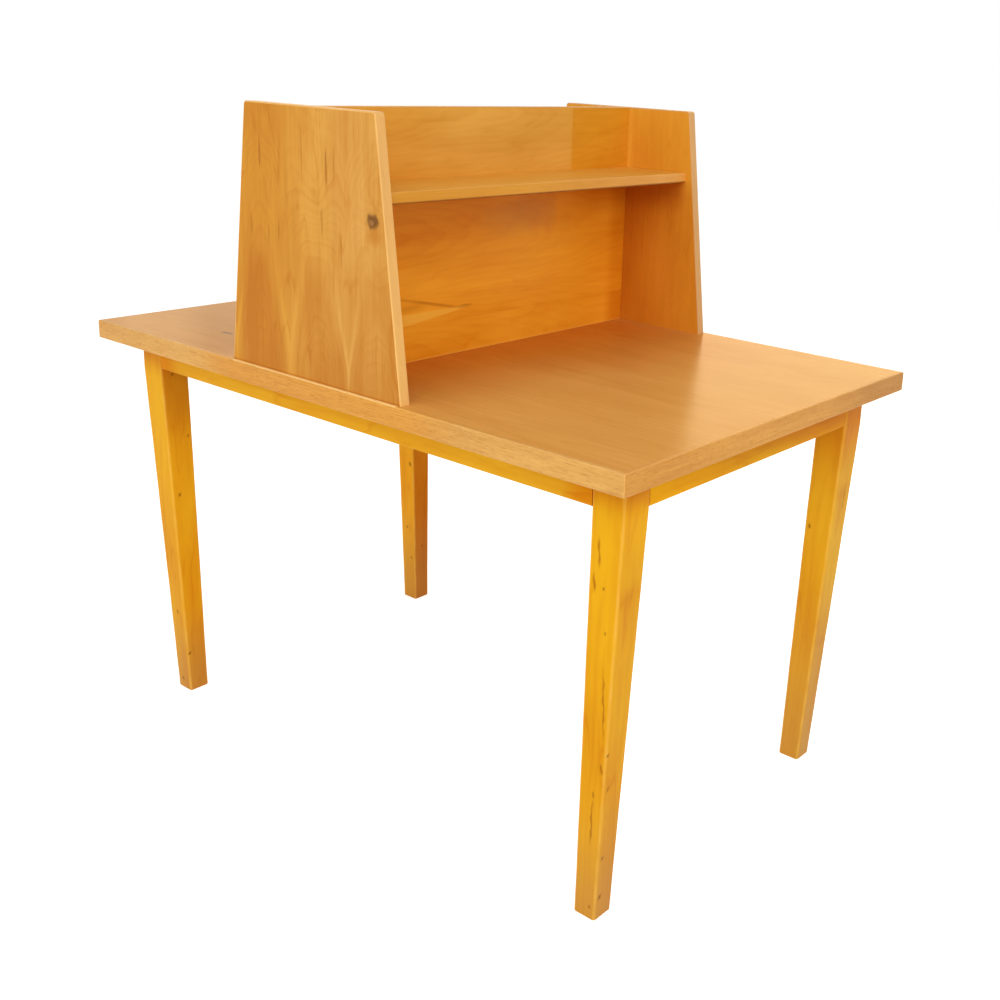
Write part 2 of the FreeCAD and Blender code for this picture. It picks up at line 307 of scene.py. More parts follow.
def growth_rings():
    """Rings that a face cuts through.

    A ring's number is the distance to the tree's middle over the width of a ring. The distance is
    the root of the place across the board squared plus the depth of the tree's middle squared.
    """
    wiring, given, result = new_group(
        "Growth rings",
        {"Position": ORIGIN, "Across": 0.0, "Depth": 0.06, "Ring width": 0.005, "Waver": 0.01, "Push": 0.0},
        ["Late wood", "Ring tone"],
    )
    slow = wiring.noise(given["Position"], (0.10, 0.10, 0.30), detail=3.0)
    sway = wiring.split(wiring.vector("SUBTRACT", slow["Color"], MIDDLE_GREY))
    across = wiring.plus(given["Across"], wiring.times(sway[0], given["Waver"]))
    depth = wiring.plus(given["Depth"], wiring.times(sway[1], given["Waver"]))
    radius = wiring.plus(wiring.hypotenuse(across, depth), given["Push"])
    number = wiring.math("DIVIDE", radius, given["Ring width"])
    uneven = wiring.noise(wiring.combined(wiring.times(number, 0.37), 0.0, 0.0), detail=1.0)[0]
    number = wiring.plus(number, wiring.times(uneven, 2.2))
    phase = wiring.math("FRACT", number)
    late = wiring.times(wiring.rise(phase, 0.25, 0.90), wiring.fall(phase, 0.90, 1.0))
    tone = wiring.node("ShaderNodeTexWhiteNoise", noise_dimensions="1D")
    wiring.join(wiring.math("FLOOR", number), tone.inputs["W"])
    wiring.join(late, result["Late wood"])
    wiring.join(tone.outputs["Value"], result["Ring tone"])
    return wiring.tree


def fibre_and_pores():
    """Fine streaks and short pores along z, from noise squeezed across the grain."""
    wiring, given, result = new_group(
        "Fibre and pores",
        {"Position": ORIGIN, "Pore width": 0.0012, "Pore length": 0.014, "Pore share": 0.36},
        ["Fibre", "Streak", "Pores"],
    )
    place = given["Position"]
    pore = wiring.combined(given["Pore width"], given["Pore width"], given["Pore length"])
    edge = wiring.minus(1.0, given["Pore share"])
    pores = wiring.rise(wiring.noise(place, pore, 1.0)[0], edge, wiring.plus(edge, 0.07))
    wiring.join(wiring.noise(place, (0.0016, 0.0016, 0.055), 3.0, 0.6)[0], result["Fibre"])
    wiring.join(wiring.noise(place, (0.008, 0.008, 0.26), 3.0, 0.55)[0], result["Streak"])
    wiring.join(pores, result["Pores"])
    return wiring.tree


def vein_group():
    """Thin wavering lines along z: contours of a slow noise that is stretched along the grain."""
    wiring, given, result = new_group("Veins", {"Position": ORIGIN}, ["Veins"])
    slow = wiring.noise(given["Position"], (0.045, 0.045, 0.27), 2.0, 0.40)[0]
    line = wiring.fall(wiring.math("PINGPONG", wiring.times(slow, 13.0), 1.0), 0.0, 0.34)
    patch = wiring.noise(given["Position"], (0.050, 0.050, 0.11), 2.0, 0.6)[0]
    wiring.join(wiring.times(line, wiring.rise(patch, 0.44, 0.62)), result["Veins"])
    return wiring.tree


def stained_wood(rings_tree, fibre_tree, vein_tree):
    """Lacquered wood: colour, roughness and height from rings, veins, streaks, pores and slow clouds.

    Shade adds to the depth of the stain where a board's own figure is darker or paler.
    """
    wiring, given, result = new_group(
        "Stained wood",
        {
            "Position": ORIGIN, "Pale": (0.7, 0.4, 0.1, 1.0), "Deep": (0.5, 0.2, 0.05, 1.0),
            "Pore colour": (0.3, 0.12, 0.03, 1.0), "Across": 0.0, "Depth": 0.06, "Ring width": 0.005,
            "Waver": 0.01, "Push": 0.0, "Shade": 0.0, "Ring contrast": 0.5, "Vein contrast": 0.0,
            "Streak contrast": 0.5, "Fibre contrast": 0.3, "Cloud contrast": 0.5, "Pore width": 0.0012,
            "Pore length": 0.014, "Pore share": 0.36, "Pore strength": 0.3, "Sheen": 0.35,
        },
        ["Colour", "Roughness", "Height"],
    )
    rings = wiring.group(rings_tree, given)
    fibre = wiring.group(fibre_tree, given)
    veins = wiring.group(vein_tree, given)
    cloud = wiring.noise(given["Position"], (0.075, 0.075, 0.24))[0]
    uneven = wiring.noise(given["Position"], (0.05, 0.05, 0.05), 3.0, 0.6)[0]
    ring = wiring.times(rings["Late wood"], wiring.plus(rings["Ring tone"], 0.35))

    def share(value, middle, contrast):
        return wiring.times(wiring.minus(value, middle), contrast)

    depth = wiring.plus(
        share(ring, 0.3, given["Ring contrast"]), 0.4,
        share(veins["Veins"], 0.1, given["Vein contrast"]),
        share(fibre["Streak"], 0.5, given["Streak contrast"]),
        share(fibre["Fibre"], 0.5, given["Fibre contrast"]),
        share(cloud, 0.5, given["Cloud contrast"]), given["Shade"],
    )
    pores = wiring.times(fibre["Pores"], given["Pore strength"])
    wood = wiring.mix(depth, given["Pale"], given["Deep"])
    rough = wiring.plus(
        given["Sheen"], share(uneven, 0.5, 0.10), share(fibre["Fibre"], 0.5, 0.10), wiring.times(pores, 0.2)
    )
    height = wiring.minus(share(fibre["Fibre"], 0.5, 0.5), pores)
    height = wiring.plus(height, share(ring, 0.3, 0.25), share(uneven, 0.5, 1.2))
    wiring.join(wiring.mix(pores, wood, given["Pore colour"]), result["Colour"])
    wiring.join(rough, result["Roughness"])
    wiring.join(height, result["Height"])
    return wiring.tree


def spot_group():
    """Spot of a given spread about a centre: a ragged core, a soft halo and a wide swell round both."""
    wiring, given, result = new_group(
        "Spot",
        {"Position": ORIGIN, "Centre": ORIGIN, "Spread": (0.01, 1.0, 0.01), "Ragged": 0.8},
        ["Core", "Halo", "Swell"],
    )
    away = wiring.vector("SUBTRACT", given["Position"], given["Centre"])
    away = wiring.vector("DIVIDE", away, given["Spread"])
    rough = wiring.noise(given["Position"], (0.008, 0.008, 0.020), 3.0, 0.6)
    bend = wiring.node("ShaderNodeVectorMath", operation="SCALE")
    wiring.join(wiring.vector("SUBTRACT", rough["Color"], MIDDLE_GREY), bend.inputs[0])
    wiring.join(given["Ragged"], bend.inputs["Scale"])
    ragged = wiring.reach(wiring.vector("ADD", away, bend.outputs[0]))
    wiring.join(wiring.fall(ragged, 0.5, 1.1), result["Core"])
    wiring.join(wiring.fall(ragged, 0.3, 2.0), result["Halo"])
    wiring.join(wiring.fall(wiring.reach(away), 0.0, 3.5), result["Swell"])
    return wiring.tree


def arris_group():
    """Long edges of a box: one where a point is near two of the box's faces at once."""
    wiring, given, result = new_group(
        "Arris", {"Position": ORIGIN, "Half size": (1.0, 1.0, 1.0), "Width": 0.002}, ["Arris"]
    )
    within = wiring.vector("SUBTRACT", given["Half size"], wiring.vector("ABSOLUTE", given["Position"]))
    full = wiring.times(given["Width"], 0.3)
    near = [wiring.fall(part, full, given["Width"]) for part in wiring.split(within)]
    edges = [wiring.times(near[i], near[i - 1]) for i in range(3)]
    most = wiring.math("MAXIMUM", wiring.math("MAXIMUM", edges[0], edges[1]), edges[2])
    wiring.join(most, result["Arris"])
    return wiring.tree


class WoodShop:
    """Node groups that all boards share, made once."""

    def __init__(self):
        self.wood = stained_wood(growth_rings(), fibre_and_pores(), vein_group())
        self.spot = spot_group()
        self.arris = arris_group()


class Board(Wiring):
    """Material of one board in the making: its places, its pale and deep wood, and its colour so far.

    Three letters say which of the model's axes lie across, through and along the grain. The place
    runs on those from an origin, while x, y and z are the model's own.
    """

    shop = None

    def __init__(self, name, axes, origin=ORIGIN, woods=()):
        self.material = blank_material(name)
        super().__init__(self.material.node_tree)
        if Board.shop is None:
            Board.shop = WoodShop()
        self.room = self.node("ShaderNodeTexCoord").outputs["Object"]
        self.x, self.y, self.z = self.split(self.room)
        parts = self.split(self.vector("SUBTRACT", self.room, origin))
        self.place = self.combined(*[parts["xyz".index(axis)] for axis in axes])
        self.across, self.through, self.along = self.split(self.place)
        self.woods = woods

    def leaf(self, half_width, shift):
        """Distance across the grain to the nearest middle of a leaf of veneer."""
        return self.math("PINGPONG", self.plus(self.across, shift), half_width)

    def depth(self, start, slope, swing=0.0, length=0.1):
        """Depth of the tree's middle: a start, a slope along the grain, and a slow swing about both."""
        depth = self.plus(start, self.times(self.along, slope))
        if swing == 0.0:
            return depth
        slow = self.noise(self.combined(7.3, 1.9, self.math("DIVIDE", self.along, length)), detail=1.0)[0]
        return self.plus(depth, self.times(self.minus(slow, 0.5), swing))

    def spot(self, centre, spread, ragged, place=None):
        """Core, halo and swell of a spot about a centre."""
        place = self.place if place is None else place
        return self.group(self.shop.spot, position=place, centre=centre, spread=spread, ragged=ragged)

    def dye(self, mask, others, strength=1.0):
        """Changes both woods to two others where the mask is, by a strength."""
        self.woods = self.blend(self.times(mask, strength), self.woods, others)

    def cut(self, pore_colour, **figure):
        """Cuts the board from its two woods, with a figure in the words of the stained wood."""
        pale, deep = self.woods
        self.grain = self.group(
            self.shop.wood, position=self.place, pale=rgba(pale), deep=rgba(deep),
            pore_colour=rgba(pore_colour), **figure,
        )
        self.colour = self.grain["Colour"]

    def stain(self, mask, strength, towards):
        """Changes the colour towards another where the mask is, by a strength."""
        self.colour = self.mix(self.times(mask, strength), self.colour, rgba(towards))

    def wash(self, mask, factors):
        """Multiplies the colour by three factors where the mask is, so that its grain stays."""
        self.colour = self.mix(mask, self.colour, self.mix(1.0, self.colour, rgba(factors), "MULTIPLY"))

    def wear_and_highlight(self, centre, half_size, width, strength, towards):
        """Pales the long edges of a box about a centre, where use has paled them and as a painted highlight.
        """
        around = self.vector("SUBTRACT", self.room, centre)
        arris_highlight = self.group(self.shop.arris, position=around, half_size=half_size, width=width)
        self.stain(arris_highlight["Arris"], strength, towards)

    def lacquer(self, relief, gloss, tint=(1.0, 0.80, 0.50)):
        """Finished material: relief is the bump's strength and gloss the specular level."""
        bump = self.node("ShaderNodeBump")
        height = self.grain["Height"]
        for name, value in {"Strength": relief, "Distance": 0.3 * MM, "Height": height}.items():
            self.join(value, bump.inputs[name])
        self.surface({
            "Base Color": self.colour, "Roughness": self.grain["Roughness"], "Specular IOR Level": gloss,
            "Specular Tint": rgba(tint), "Normal": bump.outputs[0],
        })
        return self.material


# ---- Finishes ----

def box_of(*nodes):
    """Middle and half size of the box round some of the model's boards."""
    low = Vector(min(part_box(node)[0][axis] for node in nodes) for axis in range(3))
    high = Vector(max(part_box(node)[1][axis] for node in nodes) for axis in range(3))
    return tuple((low + high) / 2), tuple((high - low) / 2)


TABLE_TOP = box_of("lipping_front", "lipping_back", "lipping_left", "lipping_right")
TOP_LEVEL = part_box("top_face_veneer")[1].z
TOP_UNDERSIDE = TABLE_TOP[0][2] - TABLE_TOP[1][2]
TOP_ORIGIN = (0.0, 0.0, TOP_LEVEL)
SHELF_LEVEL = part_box("shelf_front")[0].z
SHELF_RISE = SHELF_LEVEL - TOP_LEVEL
PANEL_FOOT = box_of("side_panel_left")
PANEL_MIDDLE = box_of("side_panel_right")[0][0]
DIVIDER_FACE = box_of("divider_upper_board")[1][1]

# Axes across, through and along the grain of strips that run one way or the other.
ALONG_X = "zyx"
ALONG_Y = "zxy"

# Pale and deep wood that a board changes to in places. Some hold painted shade instead of the
# wood's colour: in the top's bays, under the top on the pine and inside the right panel; and the
# three for the divider above the shelves hold painted light.
PAINTED_BAY_SHADE = ((0.60, 0.167, 0.004), (0.46, 0.104, 0.001))
AMBER_OAK = ((0.78, 0.350, 0.045), (0.54, 0.180, 0.010))
UNDER_TOP_SHADE_PINE = ((0.70, 0.235, 0.003), (0.52, 0.140, 0.002))
GOLDEN_PANEL = ((0.67, 0.297, 0.022), (0.50, 0.160, 0.003))
PAINTED_SHADE_PANEL = ((0.74, 0.260, 0.018), (0.56, 0.165, 0.006))
PAINTED_LIGHT_LEFT = ((0.756, 0.333, 0.037), (0.609, 0.228, 0.013))
PAINTED_LIGHT_MIDDLE = ((0.80, 0.405, 0.068), (0.65, 0.278, 0.025))
PAINTED_LIGHT_RIGHT = ((0.76, 0.330, 0.022), (0.61, 0.215, 0.005))
STRIP_FOOT = ((0.88, 0.495, 0.125), (0.69, 0.330, 0.053))
STRIP_RIGHT = ((0.64, 0.300, 0.095), (0.48, 0.200, 0.045))
SHELF_STRIP_LEFT = ((0.76, 0.356, 0.042), (0.60, 0.233, 0.013))
SHELF_STRIP_RIGHT = ((0.84, 0.405, 0.090), (0.66, 0.265, 0.030))

# Factors that change nothing.
EVEN = (1.0, 1.0, 1.0)

PINE_TINT = (1.0, 0.7, 0.3)
HUTCH_PORES = (0.42, 0.14, 0.012)


def top_veneer(woods):
    """Face of the top: quiet straight grain along the table under a satin lacquer.

    It has painted shade in the bays beside the divider, which reach further out on the right, and
    painted shade and a painted reflection of the left panel darken it at the far left, in a slanting
    band behind the panel and at the corner.
    """
    top = Board("Top veneer", "xzy", TOP_ORIGIN, woods.pair("top"))
    dent = top.spot((-0.290, 0.0, 0.378), (0.006, 1.0, 0.018), ragged=1.0)
    # Painted shade in the bays beside the divider, where the hutch keeps the light off.
    bay_end = top.rise(top.x, -0.05, 0.08, 0.30, 0.45)
    bay = top.times(top.fall(top.size(top.x), 0.30, 0.44), top.fall(top.size(top.y), 0.02, bay_end))
    top.dye(bay, PAINTED_BAY_SHADE, 0.80)
    top.cut(
        (0.34, 0.14, 0.04), across=top.leaf(0.15, 0.05), depth=top.depth(0.05, 0.03, 0.03, 0.3),
        ring_width=0.008, waver=0.02, push=top.times(dent["Swell"], 0.02), ring_contrast=0.14,
        vein_contrast=0.12, streak_contrast=0.45, fibre_contrast=0.30, cloud_contrast=0.75,
        pore_strength=0.10, sheen=woods.sheen - 0.11,
    )
    # Painted shade and a painted reflection of the left panel, in a slanting band behind it and at the
    # corner.
    slant = top.minus(top.x, top.times(top.y, 0.657))
    band = top.times(top.rise(slant, -0.655, -0.560), top.fall(slant, -0.53, -0.38))
    corner = top.fall(slant, -0.765, -0.735, 0.4)
    top.stain(dent["Core"], 0.75, (0.16, 0.080, 0.030))
    top.wash(top.times(top.plus(band, corner), top.rise(top.y, 0.20, 0.30)), (0.83, 0.74, 0.46))
    top.wear_and_highlight(*TABLE_TOP, 7 * MM, 0.12, (0.84, 0.47, 0.15))
    return top.lacquer(relief=0.08, gloss=0.03, tint=(1.0, 0.84, 0.55))


def lipping_oak(woods, name, axes, amber):
    """Strip round the top: straight oak with short brown dashes and pale flecks, amber by a share.

    On the long sides it is amber beside the hutch. A painted highlight lies on its top face beside
    the side panels, and the front strip darkens towards its right end.
    """
    strip = Board(name, axes, woods=woods.pair("lipping"))
    beside_hutch = strip.fall(strip.size(strip.y), 0.20, 0.34, 0.75)
    strip.dye(strip.math("MAXIMUM", beside_hutch, amber), AMBER_OAK)
    strip.cut(
        (0.42, 0.145, 0.018), depth=0.3, ring_width=0.004, waver=0.008, ring_contrast=0.25,
        streak_contrast=0.6, fibre_contrast=1.3, cloud_contrast=0.6, pore_width=0.0009,
        pore_length=0.013, pore_share=0.43, pore_strength=0.42, sheen=woods.sheen + 0.06,
    )
    # Painted highlight along the lipping's eased edges.
    strip.wear_and_highlight(*TABLE_TOP, 1.6 * MM, 0.35, (0.90, 0.56, 0.20))
    if axes == ALONG_X:
        strip.wash(strip.rise(strip.x, 0.12, 0.30), (0.82, 0.79, 0.72))
    # Painted highlight on the narrow ledge of the top at the foot of each side panel.
    panel_half = PANEL_FOOT[1][1]
    from_panel = strip.size(strip.minus(strip.y, PANEL_FOOT[0][1]))
    on_top = strip.rise(strip.z, TOP_LEVEL - 1.4 * MM, TOP_LEVEL - 0.4 * MM)
    strip.stain(
        strip.times(strip.fall(from_panel, panel_half - 6 * MM, panel_half), on_top), 0.90, (1.0, 0.68, 0.26)
    )
    return strip.lacquer(relief=0.12, gloss=0.25)


def amber_pine(woods, name, axes, origin, shade_height=0.065, left_share=0.80):
    """Pine under an amber stain, with darker late wood and soft clouds where the stain took.

    Under the top, over a given height, painted shade turns it a deep orange, on the left of the
    table only by a share.
    """
    pine = Board(name, axes, origin, woods.pair("pine"))
    # Painted shade under the top's overhang.
    under_top_shade = pine.rise(pine.z, TOP_UNDERSIDE - shade_height, TOP_UNDERSIDE - 0.3 * shade_height)
    pine.dye(under_top_shade, UNDER_TOP_SHADE_PINE, pine.rise(pine.x, -0.28, 0.15, left_share, 0.80))
    pine.cut(
        (0.42, 0.15, 0.01), across=pine.plus(pine.across, 0.018), depth=pine.depth(0.055, 0.02),
        ring_width=0.0065, waver=0.016, ring_contrast=0.16, vein_contrast=0.30, streak_contrast=0.55,
        fibre_contrast=0.22, cloud_contrast=1.7, pore_share=0.30, pore_strength=0.10,
        sheen=woods.sheen + 0.05,
    )
    return pine


def apron_pine(woods, name, axes):
    """Aprons along the grain: painted light on the left, painted shade next to the legs and at the right."""
    apron = amber_pine(woods, name, axes, (0.0, 0.0, 0.69), left_share=0.0)
    # Painted light on the left, and painted shade next to the legs and towards the right end.
    painted_light_left = apron.fall(apron.x, -0.30, 0.05)
    if axes == ALONG_Y:
        apron.wash(painted_light_left, (1.03, 1.09, 2.6))
        apron.wash(apron.rise(apron.size(apron.y), 0.455, 0.505), (0.93, 0.68, 0.25))
    else:
        apron.wash(painted_light_left, (1.22, 1.26, 0.5))
        apron.wash(apron.rise(apron.x, 0.02, 0.22), (1.02, 0.90, 0.72))
    return apron.lacquer(relief=0.15, gloss=0.05, tint=PINE_TINT)


class LegPaintedLight:
    """Painted light and shade on one leg, from the top down, and its darker foot.

    The first height is the one under the top that carries painted shade, and the second the one
    over which the leg turns darker and browner towards the floor. Three washes are painted light
    and shade, as factors of its colour: on the face that looks left, on the one that looks to the
    front, and at the head of that one, which comes in from a height.
    """

    def __init__(self, shade_height, foot_darkening, left=EVEN, front=EVEN, head=EVEN, head_from=0.58):
        self.shade_height = shade_height
        self.foot_darkening = foot_darkening
        self.washes = [left, front, head]
        self.head_from = head_from


HEAD_FADE = 0.11
LEG_PAINTED_LIGHT = {
    "leg_front_left": LegPaintedLight(0.060, 0.24, head=(1.12, 1.10, 0.32)),
    "leg_back_left": LegPaintedLight(0.075, 0.22, EVEN, (1.10, 1.08, 1.5), (0.78, 0.64, 0.75), 0.50),
    "leg_front_right": LegPaintedLight(0.20, 0.44, (0.99, 1.03, 2.0), (0.99, 1.08, 1.8), (1.06, 0.88, 0.30)),
    "leg_back_right": LegPaintedLight(0.10, 0.30, (1.27, 1.29, 2.6), (0.92, 0.62, 0.3)),
}


def leg_pine(woods, name, origin, tint):
    """Legs: upright grain, painted light and shade, and knots, shakes and painted highlights as attributes.
    """
    leg = amber_pine(woods, name, "yxz", origin, tint.shade_height)
    # Painted light and shade: each face is made lighter or darker by the way it looks.
    facing_right, facing_back, _ = leg.split(leg.node("ShaderNodeNewGeometry").outputs["Normal"])
    left = leg.fall(facing_right, -0.8, -0.6)
    front = leg.fall(facing_back, -0.8, -0.6)
    head = leg.times(front, leg.rise(leg.z, tint.head_from, tint.head_from + HEAD_FADE))
    for face, factors in zip((left, front, head), tint.washes):
        leg.wash(face, factors)
    # Darker and browner towards the floor.
    leg.stain(leg.fall(leg.z, 0.0, tint.foot_darkening), 0.60, (0.50, 0.210, 0.052))
    # The first mark is a painted highlight along the leg's rounded arrises; knots and shakes are the wood's
    # own.
    marks = {
        "arris_highlight": (0.60, (0.88, 0.50, 0.09)),
        "knot": (0.90, (0.24, 0.060, 0.0)),
        "shake": (0.85, (0.34, 0.085, 0.0)),
    }
    for attribute, (strength, towards) in marks.items():
        mask = leg.node("ShaderNodeAttribute", attribute_name=attribute).outputs["Fac"]
        leg.stain(mask, strength, towards)
    return leg.lacquer(relief=0.15, gloss=0.09, tint=PINE_TINT)


# Half width and shift of the panels' leaves of veneer; start, slope, swing and length of the
# depth of their tree's middle; and the distance to that middle at the rim of an arch.
PANEL_LEAF = (0.070, 0.010)
PANEL_DEPTH = (0.054, 0.163, 0.03, 0.13)
PANEL_ARCH = 0.086

# Outer face of the left panel, and how deep a spot on a board's face goes in.
OUTER_FACE = 6.5 * MM - TABLE_TOP[1][0]
SKIN = 12 * MM

# Dark streaks of the left panel: their middle across and up it, their half width and half
# length, all in millimetres, and their strength.
STREAKS = [
    (124, 345, 2.4, 26, 0.50),
    (150, 226, 2.2, 22, 0.40),
    (106, 222, 1.6, 18, 0.40),
    (81, 228, 1.6, 20, 0.40),
    (-35, 335, 2.6, 30, 0.55),
    (-53, 338, 1.8, 24, 0.35),
    (-23, 253, 2.4, 22, 0.35),
    (-67, 215, 2.2, 32, 0.30),
    (22, 350, 1.6, 44, 0.30),
]


def panel_arches(panel, across, depth):
    """Shade of arched leaves, deeper inside an arch and pale along its rim.

    An arch is where the distance to the tree's middle is under a set radius.
    """
    radius = panel.hypotenuse(across, depth)
    inside = panel.fall(radius, PANEL_ARCH - 10 * MM, PANEL_ARCH)
    rim = panel.times(
        panel.rise(radius, PANEL_ARCH - 1 * MM, PANEL_ARCH + 2 * MM),
        panel.fall(radius, PANEL_ARCH + 2 * MM, PANEL_ARCH + 8 * MM),
    )
    inside = panel.times(inside, panel.fall(panel.along, 0.13, 0.24), 0.36)
    rim = panel.times(rim, panel.fall(panel.along, 0.05, 0.20), 0.45)
    return panel.minus(inside, rim)


def panel_veneer(woods):
    """Left panel: three softly arched leaves of veneer, golden towards the back.

    It has one knot with a brown tail, an eye under it, a curl, a pale patch and dark streaks.
    """
    panel = Board("Panel veneer, left", "yxz", TOP_ORIGIN, woods.pair("panel"))
    across = panel.leaf(*PANEL_LEAF)
    depth = panel.depth(*PANEL_DEPTH)

    def spot(across_mm, up_mm, half_width, half_height, ragged):
        centre = (across_mm * MM, OUTER_FACE, up_mm * MM)
        return panel.spot(centre, (half_width * MM, SKIN, half_height * MM), ragged)

    knot = spot(-137, 265, 15.0, 12.8, 1.0)
    pith = spot(-135, 263, 6.2, 5.0, 0.9)
    tail = spot(-141, 244, 13.0, 11.0, 1.3)
    eye = spot(-150, 206, 12.0, 18.0, 0.3)
    curl = spot(-8, 318, 25.0, 40.0, 0.3)
    pale_patch = spot(-88, 290, 30.0, 70.0, 0.6)
    swells = ((knot, 0.020), (eye, 0.016), (curl, 0.030))
    pushes = [panel.times(mark["Swell"], push) for mark, push in swells]
    ring_contrast = panel.rise(panel.along, 0.10, 0.30, 0.10, 0.14)
    panel.dye(panel.rise(panel.across, -0.12, 0.16), GOLDEN_PANEL)
    panel.cut(
        (0.34, 0.13, 0.02), across=across, depth=depth, ring_width=0.0050, waver=0.032,
        push=panel.plus(*pushes), shade=panel_arches(panel, across, depth),
        ring_contrast=panel.plus(ring_contrast, panel.times(curl["Swell"], 0.10)),
        vein_contrast=0.30, streak_contrast=0.70, fibre_contrast=0.38, cloud_contrast=1.7,
        pore_length=0.020, pore_share=0.34, pore_strength=0.26,
        sheen=woods.sheen + 0.02,
    )
    for *place, strength in STREAKS:
        streak = spot(*place, ragged=1.1)
        panel.stain(streak["Halo"], 0.6 * strength, (0.46, 0.145, 0.004))
        panel.stain(streak["Core"], strength, (0.30, 0.080, 0.0))
    panel.wash(pale_patch["Halo"], (1.10, 1.20, 1.60))
    panel.stain(tail["Halo"], 0.60, (0.50, 0.150, 0.006))
    panel.stain(knot["Halo"], 0.45, (0.46, 0.170, 0.012))
    panel.stain(knot["Core"], 0.84, (0.115, 0.032, 0.001))
    panel.stain(pith["Core"], 0.70, (0.36, 0.160, 0.040))
    # Painted shadow: a dark line along the panel's foot.
    panel.stain(panel.fall(panel.along, 1.2 * MM, 3.2 * MM), 0.40, (0.34, 0.105, 0.006))
    return panel.lacquer(relief=0.12, gloss=0.22)


def plain_panel_veneer(woods):
    """Right panel: plain upright grain, with painted shade inside towards the divider and under the shelves.

    Over the shelves a pale line shows beside the divider.
    """
    panel = Board("Panel veneer, right", "yxz", TOP_ORIGIN, woods.pair("inner"))
    from_divider = panel.size(panel.across)
    inside = panel.fall(panel.size(panel.through), PANEL_MIDDLE - 1 * MM, PANEL_MIDDLE + 1 * MM)
    # Painted shade inside the hutch, deepest by the divider and under the shelf.
    inner_shade = panel.times(
        panel.fall(from_divider, 0.0, 0.20, 1.0, 0.35),
        panel.fall(panel.along, SHELF_RISE - 30 * MM, SHELF_RISE), inside,
    )
    pale_joint_line = panel.times(
        panel.fall(from_divider, DIVIDER_FACE + 1.4 * MM, DIVIDER_FACE + 2.6 * MM),
        panel.rise(panel.along, SHELF_RISE, SHELF_RISE + 18 * MM), inside,
    )
    shade = panel.times(
        panel.rise(panel.along, SHELF_RISE - 75 * MM, SHELF_RISE - 15 * MM),
        panel.fall(panel.along, SHELF_RISE, SHELF_RISE + 2 * MM),
        panel.fall(from_divider, 0.125, 0.155), inside,
    )
    panel.dye(inner_shade, PAINTED_SHADE_PANEL, 0.80)
    panel.cut(
        (0.40, 0.15, 0.02), across=panel.leaf(*PANEL_LEAF), depth=panel.depth(*PANEL_DEPTH),
        ring_width=0.0052, waver=0.034, ring_contrast=0.06, vein_contrast=0.20, streak_contrast=0.60,
        fibre_contrast=0.30, cloud_contrast=1.2, pore_strength=0.10, sheen=woods.sheen + 0.02,
    )
    panel.stain(pale_joint_line, 0.28, (1.0, 0.60, 0.070))
    panel.wash(shade, (0.80, 0.66, 0.66))
    return panel.lacquer(relief=0.12, gloss=0.22)


# Heights that the grain of the divider's boards is laid out from, and the joint of two leaves.
RAIL_LEVEL = 0.78
BOARD_LEVEL = 0.99
LEAF_JOINT = 0.206

# Where the divider is shaded next to the right panel.
DIVIDER_CORNER = (0.315, 0.352)

LINE_BROWN = (0.46, 0.132, 0.002)


def cut_divider(board, woods):
    """Figure of the divider: grain along the hutch, with long flat arches."""
    board.cut(
        HUTCH_PORES, across=board.leaf(0.10, 0.03), depth=board.depth(0.06, 0.12, 0.04, 0.25),
        ring_width=0.008, waver=0.040, ring_contrast=0.14, vein_contrast=0.18, streak_contrast=0.55,
        fibre_contrast=0.25, cloud_contrast=1.7, pore_share=0.32, pore_strength=0.08, sheen=woods.sheen,
    )


def rail_veneer(woods):
    """Lower rail of the divider, with painted shade at its right end and a pale line at its foot."""
    rail = Board("Lower rail veneer", ALONG_X, (0.0, 0.0, RAIL_LEVEL), woods.pair("divider"))
    cut_divider(rail, woods)
    # Painted shade next to the right panel.
    rail.wash(rail.rise(rail.x, *DIVIDER_CORNER), (0.80, 0.62, 0.35))
    rail.stain(rail.fall(rail.z, TOP_LEVEL + 1.5 * MM, TOP_LEVEL + 4 * MM), 0.35, (0.90, 0.45, 0.080))
    return rail.lacquer(relief=0.12, gloss=0.20)


